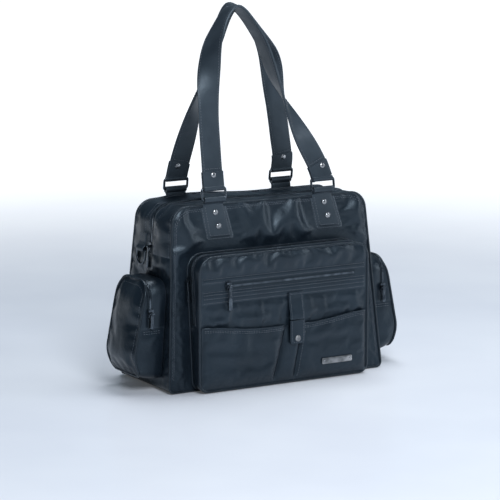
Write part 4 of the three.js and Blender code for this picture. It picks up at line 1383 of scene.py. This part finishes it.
def make_anchor(name, spot):
    """A doubled leather tab that wraps its ring and is sewn and riveted to the bag."""
    place = anchor_frame(spot)
    hinge = joint_place("handle_back_swing" if spot["back"] else "handle_front_swing")
    pivot = place.inverted() @ Vector((spot["x"], hinge.y, hinge.z))

    def lean(z):
        return -spot["slant"] * z

    def half(z):
        return lerp(TAB_HALF, TAB_END_HALF, min(max(-z / TAB_LENGTH, 0), 1))

    def leaf(label, top, bottom, grow, thick, crown):
        rows, columns = 26, 16

        def put(r, c):
            z = lerp(top, bottom, r / (rows - 1))
            u = spread(c, columns)
            corner = 1 - 0.10 * (1 - smooth(0, 4 * MM, z - bottom))
            x = lean(min(z, 0)) + u * (half(z) + grow) * corner
            y = -thick - crown * (1 - u * u)
            rim = min(1 - abs(u), (z - bottom) / (12 * MM))
            y += thick * 0.6 * (1 - smooth(0, 0.14, rim))
            curl = smooth(0, pivot.z, z) if pivot.z > 0 else 0
            return place @ Vector((x, lerp(y, pivot.y - 4.2 * MM, curl), z))

        behind = place @ Vector((0, 40 * MM, -20 * MM))
        piece = grid(label, rows, columns, put, STRAP_LEATHER, behind)
        surface = surface_of(piece)
        return thicken(piece, thick), surface

    patch, patch_surface = leaf("patch", -TAB_PATCH, -TAB_LENGTH - TAB_PATCH, TAB_PATCH, 1.6 * MM, 0)
    strap, strap_surface = leaf("strap", pivot.z, -TAB_LENGTH, 0, TAB_THICK, 0.9 * MM)
    loop_points = [place @ Vector((x, pivot.y, pivot.z)) for x in np.linspace(-TAB_HALF, TAB_HALF, 12)]
    out = (place.to_3x3() @ -Y).normalized()
    loop = sweep("loop", loop_points, [out] * len(loop_points), circle(5 * MM, 20), STRAP_LEATHER, crease=60)
    belong(join(f"tab_{name}", [strap, patch, loop]), "leather", "bag", f"anchor_tab_{name}")

    thread = Stitching(f"tab_stitching_{name}")

    def outline(inset, top, bottom, grow):
        left = [(lean(min(z, 0)) - half(z) - grow + inset, z) for z in np.linspace(top, bottom, 12)]
        right = [(lean(min(z, 0)) + half(z) + grow - inset, z) for z in np.linspace(bottom, top, 12)]
        return [place @ Vector((x, -TAB_THICK, z)) for x, z in left + right]

    thread.sew(strap_surface, outline(2.8 * MM, -2 * MM, -TAB_LENGTH + 3.4 * MM, 0))
    thread.sew(patch_surface, outline(1.7 * MM, -6 * MM, -TAB_LENGTH - TAB_PATCH + 1.8 * MM, TAB_PATCH))
    thread.fasten("bag")

    heads = []
    for z in TAB_RIVETS:
        seat = place @ Vector((lean(z), -TAB_THICK - 0.9 * MM, z))
        inner = place @ Vector((lean(z), SKIN + GAP, z))
        heads.append(dome("head", seat, out, RIVET, 2 * MM))
        heads.append(dome("washer", inner, -out, 6.5 * MM, 1.2 * MM))
    belong(join(f"tab_rivets_{name}", heads), "nickel", "bag", f"anchor_rivets_{name}")


for spot_name, spot_facts in RING_SPOTS.items():
    make_anchor(spot_name, spot_facts)


# ---------------------------------------------------------------- handles

RING = {"half": 21 * MM, "rise": 17.5 * MM, "round": 3.5 * MM}
HANDLE_WIDTH = 36 * MM
HANDLE_THICK = 4 * MM
HANDLE_LEAN = math.radians(8.4)
RISE = RING["rise"] / MM
# Each handle's route in its own plane, in millimetres: across the bag, and up from its ring's pivot.
# Most of these points were read off the photo through the fitted camera, then rounded and adjusted.
HANDLE_PATHS = {
    "front": [(-104, RISE), (-104, 55), (-102.5, 138), (-96, 202), (-80, 256), (-44, 299),
              (-3, 251), (23, 178), (56, 105), (88, 42), (96, RISE)],
    "back": [(-106, RISE), (-102, 42), (-89, 97), (-72, 169), (-55, 226), (-24, 297),
             (44, 223), (66, 144), (82, 75), (90, 38), (90, RISE)],
}
# How far along from each end the strap starts and stops turning from flat to edge-on.
TWISTS = {"front": [(0.18, 0.46), (0.06, 0.34)], "back": [(0.06, 0.4), (0.18, 0.46)]}
HANDLE_RIVET = 21 * MM
FOLD = 35 * MM


def catmull_rom(points, steps=24):
    """A centripetal curve through points, sampled finely."""
    ends = [2 * points[0] - points[1], *points, 2 * points[-1] - points[-2]]
    line = []
    for i in range(len(points) - 1):
        p = ends[i:i + 4]
        t = [0.0]
        for a, b in zip(p, p[1:]):
            t.append(t[-1] + (b - a).length ** 0.5)
        for k in range(steps):
            now = lerp(t[1], t[2], k / steps)
            layer = [p[j].lerp(p[j + 1], (now - t[j]) / (t[j + 1] - t[j])) for j in range(3)]
            layer = [layer[j].lerp(layer[j + 1], (now - t[j]) / (t[j + 2] - t[j])) for j in range(2)]
            line.append(layer[0].lerp(layer[1], (now - t[1]) / (t[2] - t[1])))
    line.append(points[-1])
    return line


def handle_frame(side):
    hinge = joint_place(f"handle_{side}_swing")
    back = side == "back"
    out = Vector((0, (1 if back else -1) * math.cos(HANDLE_LEAN), math.sin(HANDLE_LEAN)))
    return surface_frame(Vector((0, hinge.y, hinge.z)), -X if back else X, out)


def make_handle(side):
    place = handle_frame(side)
    body = f"handle_{side}"
    mirror = -1 if side == "back" else 1
    drawn = [Vector((mirror * x * MM, 0, up * MM)) for x, up in HANDLE_PATHS[side]]
    line = resample(catmull_rom(drawn), STITCH["pitch"])
    count = len(line)
    along = frames_along(line)
    normals = []
    for i in range(count):
        t = i / (count - 1)
        start, stop = TWISTS[side][0 if t < 0.5 else 1]
        flat = 1 - smooth(start, stop, min(t, 1 - t))
        angle = flat * math.pi / 2
        edge_on = Vector((-along[i].z, 0, along[i].x)) * mirror
        normals.append(edge_on * math.cos(angle) - Y * math.sin(angle))
    turn = place.to_3x3()
    points = [place @ p for p in line]
    normals = [(turn @ n).normalized() for n in normals]
    wear = [1 + 0.012 * waver(p, 40 * MM, 2.0) for p in points]
    strap = sweep("strap", points, normals,
                  lambda i: strap_section(HANDLE_WIDTH * wear[i], HANDLE_THICK, 0.35 * MM), STRAP_LEATHER)
    pieces = [strap]
    fold_steps = int(FOLD / STITCH["pitch"])
    for part in (slice(0, fold_steps), slice(count - fold_steps, count)):
        for face in (-1, 1):
            off = face * (HANDLE_THICK / 2 + 0.5 * MM)
            lifted = [p + n * off for p, n in zip(points[part], normals[part])]
            section = strap_section(HANDLE_WIDTH + MM, 1.6 * MM, 0.2 * MM)
            pieces.append(sweep("fold", lifted, normals[part], section, STRAP_LEATHER))
    for end in (0, -1):
        across = np.linspace(-HANDLE_WIDTH / 2, HANDLE_WIDTH / 2, 12)
        wide = [place @ (line[end] + X * x) for x in across]
        outs = [turn @ -Y] * len(wide)
        pieces.append(sweep("loop", wide, outs, circle(4.5 * MM, 20), STRAP_LEATHER, crease=60))
    belong(join(f"handle_{side}_strap", pieces), "leather", body, f"handle_strap_{side}")

    thread = Stitching(f"handle_stitching_{side}")
    for face in (-1, 1):
        for edge in (-1, 1):
            rows = []
            for p, n, d in zip(points, normals, frames_along(points)):
                rows.append(p + d.cross(n).normalized() * edge * (HANDLE_WIDTH / 2 - 3 * MM))
            thread.lay(rows, [n * face for n in normals], HANDLE_THICK / 2 + 0.25 * MM)
    for middle in (fold_steps, count - 1 - fold_steps):
        across = along[middle].cross(Y).normalized()
        bar = [place @ (line[middle] + across * x * MM) for x in np.linspace(-14, 14, 8)]
        for face in (-1, 1):
            thread.lay(bar, [normals[middle] * face] * len(bar), HANDLE_THICK / 2 + MM)
    thread.fasten(body)

    for end, x in (("left", drawn[0].x), ("right", drawn[-1].x)):
        half, rise, radius = RING["half"], RING["rise"], RING["round"]
        corners = [(x - half, 0, radius), (x + half, 0, radius), (x + half, rise, radius),
                   (x - half, rise, radius)]
        ring = [Vector((p.x, 0, p.y)) for p in rounded(corners, 1.2 * MM, closed=True)]
        ring_points = [place @ p for p in ring]
        wire = sweep(f"ring_{side}_{end}", ring_points, [turn @ Y] * len(ring), circle(WIRE, 14), GUNMETAL,
                     closed=True, crease=80)
        belong(wire, "gunmetal", body, f"handle_ring_{side}_{end}")
        high = rise + HANDLE_RIVET
        face = HANDLE_THICK / 2 + 1.2 * MM
        heads = [dome("head", place @ Vector((x, -face, high)), turn @ -Y, RIVET, 2 * MM),
                 dome("back", place @ Vector((x, face, high)), turn @ Y, RIVET, 1.2 * MM)]
        belong(join(f"strap_rivet_{side}_{end}", heads), "nickel", body, f"handle_rivet_{side}_{end}")


make_handle("front")
make_handle("back")


# ---------------------------------------------------------------- key rings on the side gussets

def make_key_ring(side, sign):
    hinge = joint_place(f"d_ring_{side}_swing")
    rise = (BASE_HALF - TOP_HALF) / HEIGHT
    out = Vector((sign, 0, rise)).normalized()
    place = surface_frame(hinge, Vector((0, sign, 0)), out)
    half, drop, wire, radius = 13.5 * MM, 10 * MM, 1.6 * MM, 3 * MM
    corners = [(-half, 0, radius), (-half, -drop - half, half - MM), (half, -drop - half, half - MM),
               (half, 0, radius)]
    ring = [place @ Vector((p.x, 0, p.y)) for p in rounded(corners, 1.2 * MM, closed=True)]
    turn = place.to_3x3()
    loop = sweep(f"key_ring_{side}", ring, [turn @ Y] * len(ring), circle(wire, 12), GUNMETAL,
                 closed=True, crease=80)
    belong(loop, "gunmetal", f"d_ring_{side}", f"d_ring_{side}")
    width = 2 * (half - wire - 0.8 * MM)
    lift = 4.2 * MM
    path = [(lift - 3.6 * MM, -1.5 * MM), (-3.4 * MM, -2.2 * MM), (-4 * MM, 0), (-3.4 * MM, 2.6 * MM),
            (0, 6 * MM), (lift - 3 * MM, 12 * MM), (lift - 2.4 * MM, 26 * MM)]
    points = resample([place @ Vector((0, y, z)) for y, z in path], 1.5 * MM)
    directions = frames_along(points)
    across = turn @ X
    normals = [d.cross(across).normalized() for d in directions]
    section = strap_section(width, 2.2 * MM, 0.2 * MM)
    strap = sweep(f"key_ring_tab_{side}", points, normals, section, STRAP_LEATHER)
    belong(strap, "leather", "bag", f"d_ring_tab_{side}")
    bars = [[place @ Vector((x * MM, -3 * MM, z)) for x in (-8, 0, 8)] for z in (13 * MM, 23 * MM)]
    Stitching(f"key_ring_stitching_{side}").sew(surface_of(strap), *bars).fasten("bag")


for side_name, side_sign in SIGNS.items():
    make_key_ring(side_name, side_sign)


# ---------------------------------------------------------------- zip sliders and pulls

def soften_node(name):
    """Keeps a small metal CAD piece, with its edges eased."""
    node = frame["nodes"][name]
    node.data.materials.clear()
    node.data.materials.append(GUNMETAL)
    ease_edges(node, 0.35 * MM)


def make_pull(name, joint, across, out, length):
    """A long plate pull with a slot, hung from its slider's arch."""
    place = surface_frame(joint_place(joint), across, out)
    waist, end = 2.3 * MM, 3.2 * MM
    corners = [(-waist, 1.2 * MM, 1 * MM), (-waist, -length * 0.45, 0), (-end, -length * 0.62, 0),
               (-end, -length, 2.4 * MM), (end, -length, 2.4 * MM), (end, -length * 0.62, 0),
               (waist, -length * 0.45, 0), (waist, 1.2 * MM, 1 * MM)]
    body = plate("body", place, corners, 0.9 * MM, -0.9 * MM, GUNMETAL)
    bead_points = [place @ Vector((x * MM, 0, 0)) for x in (-2.4, -1.2, 0, 1.2, 2.4)]
    turn = place.to_3x3()
    bead = sweep("bead", bead_points, [turn @ -Y] * 5, circle(2.4 * MM, 16), GUNMETAL, crease=60)
    inset = [(-1.2 * MM, -length * 0.68, 0.6 * MM), (-1.2 * MM, -length + 2 * MM, 0.6 * MM),
             (1.2 * MM, -length + 2 * MM, 0.6 * MM), (1.2 * MM, -length * 0.68, 0.6 * MM)]
    panel = plate("inset", place, inset, 1.3 * MM, -1.3 * MM, TEETH, 0.2 * MM)
    belong(join(f"{name}_plate", [body, bead, panel]), "gunmetal", name, name)


side_rise = (BASE_HALF - TOP_HALF) / HEIGHT
front_rise = (front_y(HEIGHT) - front_y(0)) / HEIGHT
PULLS = [
    ("main_zip", "main_pull_swing", -Y, Vector((-1, 0, side_rise)), 34 * MM),
    ("face_zip", "face_pull_swing", X, -Y, 38 * MM),
    ("pocket_zip", "pocket_pull_swing", Vector((0, -1, front_rise)), -X, 34 * MM),
    ("side_left_zip", "side_left_pull_swing", X, -Y, 24 * MM),
    ("side_right_zip", "side_right_pull_swing", X, -Y, 24 * MM),
]
for pull_name, pull_joint, pull_across, pull_out, pull_length in PULLS:
    soften_node(f"{pull_name}_slider")
    make_pull(f"{pull_name}_pull", pull_joint, pull_across, pull_out, pull_length)


# ---------------------------------------------------------------- floor, light and camera

def make_floor():
    """A pale glossy floor that runs up into the white of the backdrop. Its glow is painted light: faint
    beside the bag, growing with distance to full white, in place of studio light on a white sweep.
    """
    bpy.ops.mesh.primitive_plane_add(size=14)
    floor = bpy.context.object
    floor.name = "floor"
    floor.location.z = -0.5 * MM
    s = Shader("floor_white")
    away = s.node("VectorMath", "Value", {0: s.where}, operation="LENGTH")
    # painted light: the floor glows faintly within 0.6 m of its middle and fully from 2.6 m out
    painted_light_glow = s.span(away, 0.05, 1.0, 0.6, 2.6, interpolation_type="SMOOTHSTEP")
    floor.data.materials.append(s.finish(
        Base_Color=s.ramp(s.noise(3), (0.74, 0.77, 0.83), (0.79, 0.82, 0.87)), Emission_Strength=painted_light_glow,
        Emission_Color=(1, 1, 1, 1), Roughness=0.22, Specular_IOR_Level=0.35))


BACKDROP = (1.0, 1.0, 1.0)
LAMP_COLOUR = (0.92, 0.95, 1)
ROOM = (0.09, 0.128, 0.165)
# Each soft box: name, place, size and watts. They all face the bag.
SOFT_BOXES = [
    ("key", (-0.5, -2.1, 1.7), (1.0, 1.1), 46),
    ("fill", (2.0, -1.3, 1.0), (0.5, 1.5), 12),
    ("top", (0.5, 0.2, 2.2), (1.4, 0.8), 39),
]


def softbox(name, place, size, power):
    data = bpy.data.lights.new(name, "AREA")
    set_all(data, shape="RECTANGLE", size=size[0], size_y=size[1], energy=power, color=LAMP_COLOUR)
    light = add_object(name, data)
    light.location = place
    light.rotation_euler = (BAG_MIDDLE - Vector(place)).to_track_quat("-Z", "Y").to_euler()


def make_light():
    """A white backdrop, a dimmer room that the bag reflects, and soft boxes."""
    world = bpy.data.worlds.new("studio")
    world.use_nodes = True
    tree = world.node_tree
    background = tree.nodes["Background"]
    seen = tree.nodes.new("ShaderNodeLightPath").outputs["Is Camera Ray"]
    tone = tree.nodes.new("ShaderNodeMix")
    tone.data_type = "RGBA"
    tone.inputs["A"].default_value = (*ROOM, 1)
    tone.inputs["B"].default_value = (*BACKDROP, 1)
    tree.links.new(seen, tone.inputs["Factor"])
    tree.links.new(tone.outputs["Result"], background.inputs["Color"])
    bpy.context.scene.world = world
    for light in SOFT_BOXES:
        softbox(*light)


CAMERA = {"azimuth": -30.23, "elevation": 10.43, "distance": 4.367, "lens": 195.3}
LOOK_AT = Vector((-0.00335, 0, 0.1994))


def make_camera():
    data = bpy.data.cameras.new("camera")
    data.lens = CAMERA["lens"]
    camera = add_object("camera", data)
    azimuth, elevation = math.radians(CAMERA["azimuth"]), math.radians(CAMERA["elevation"])
    back = Vector((math.sin(azimuth) * math.cos(elevation), -math.cos(azimuth) * math.cos(elevation),
                   math.sin(elevation)))
    camera.location = LOOK_AT + back * CAMERA["distance"]
    camera.rotation_euler = (-back).to_track_quat("-Z", "Y").to_euler()
    bpy.context.scene.camera = camera


make_floor()
make_light()
make_camera()
bpy.context.scene.view_settings.view_transform = "Standard"
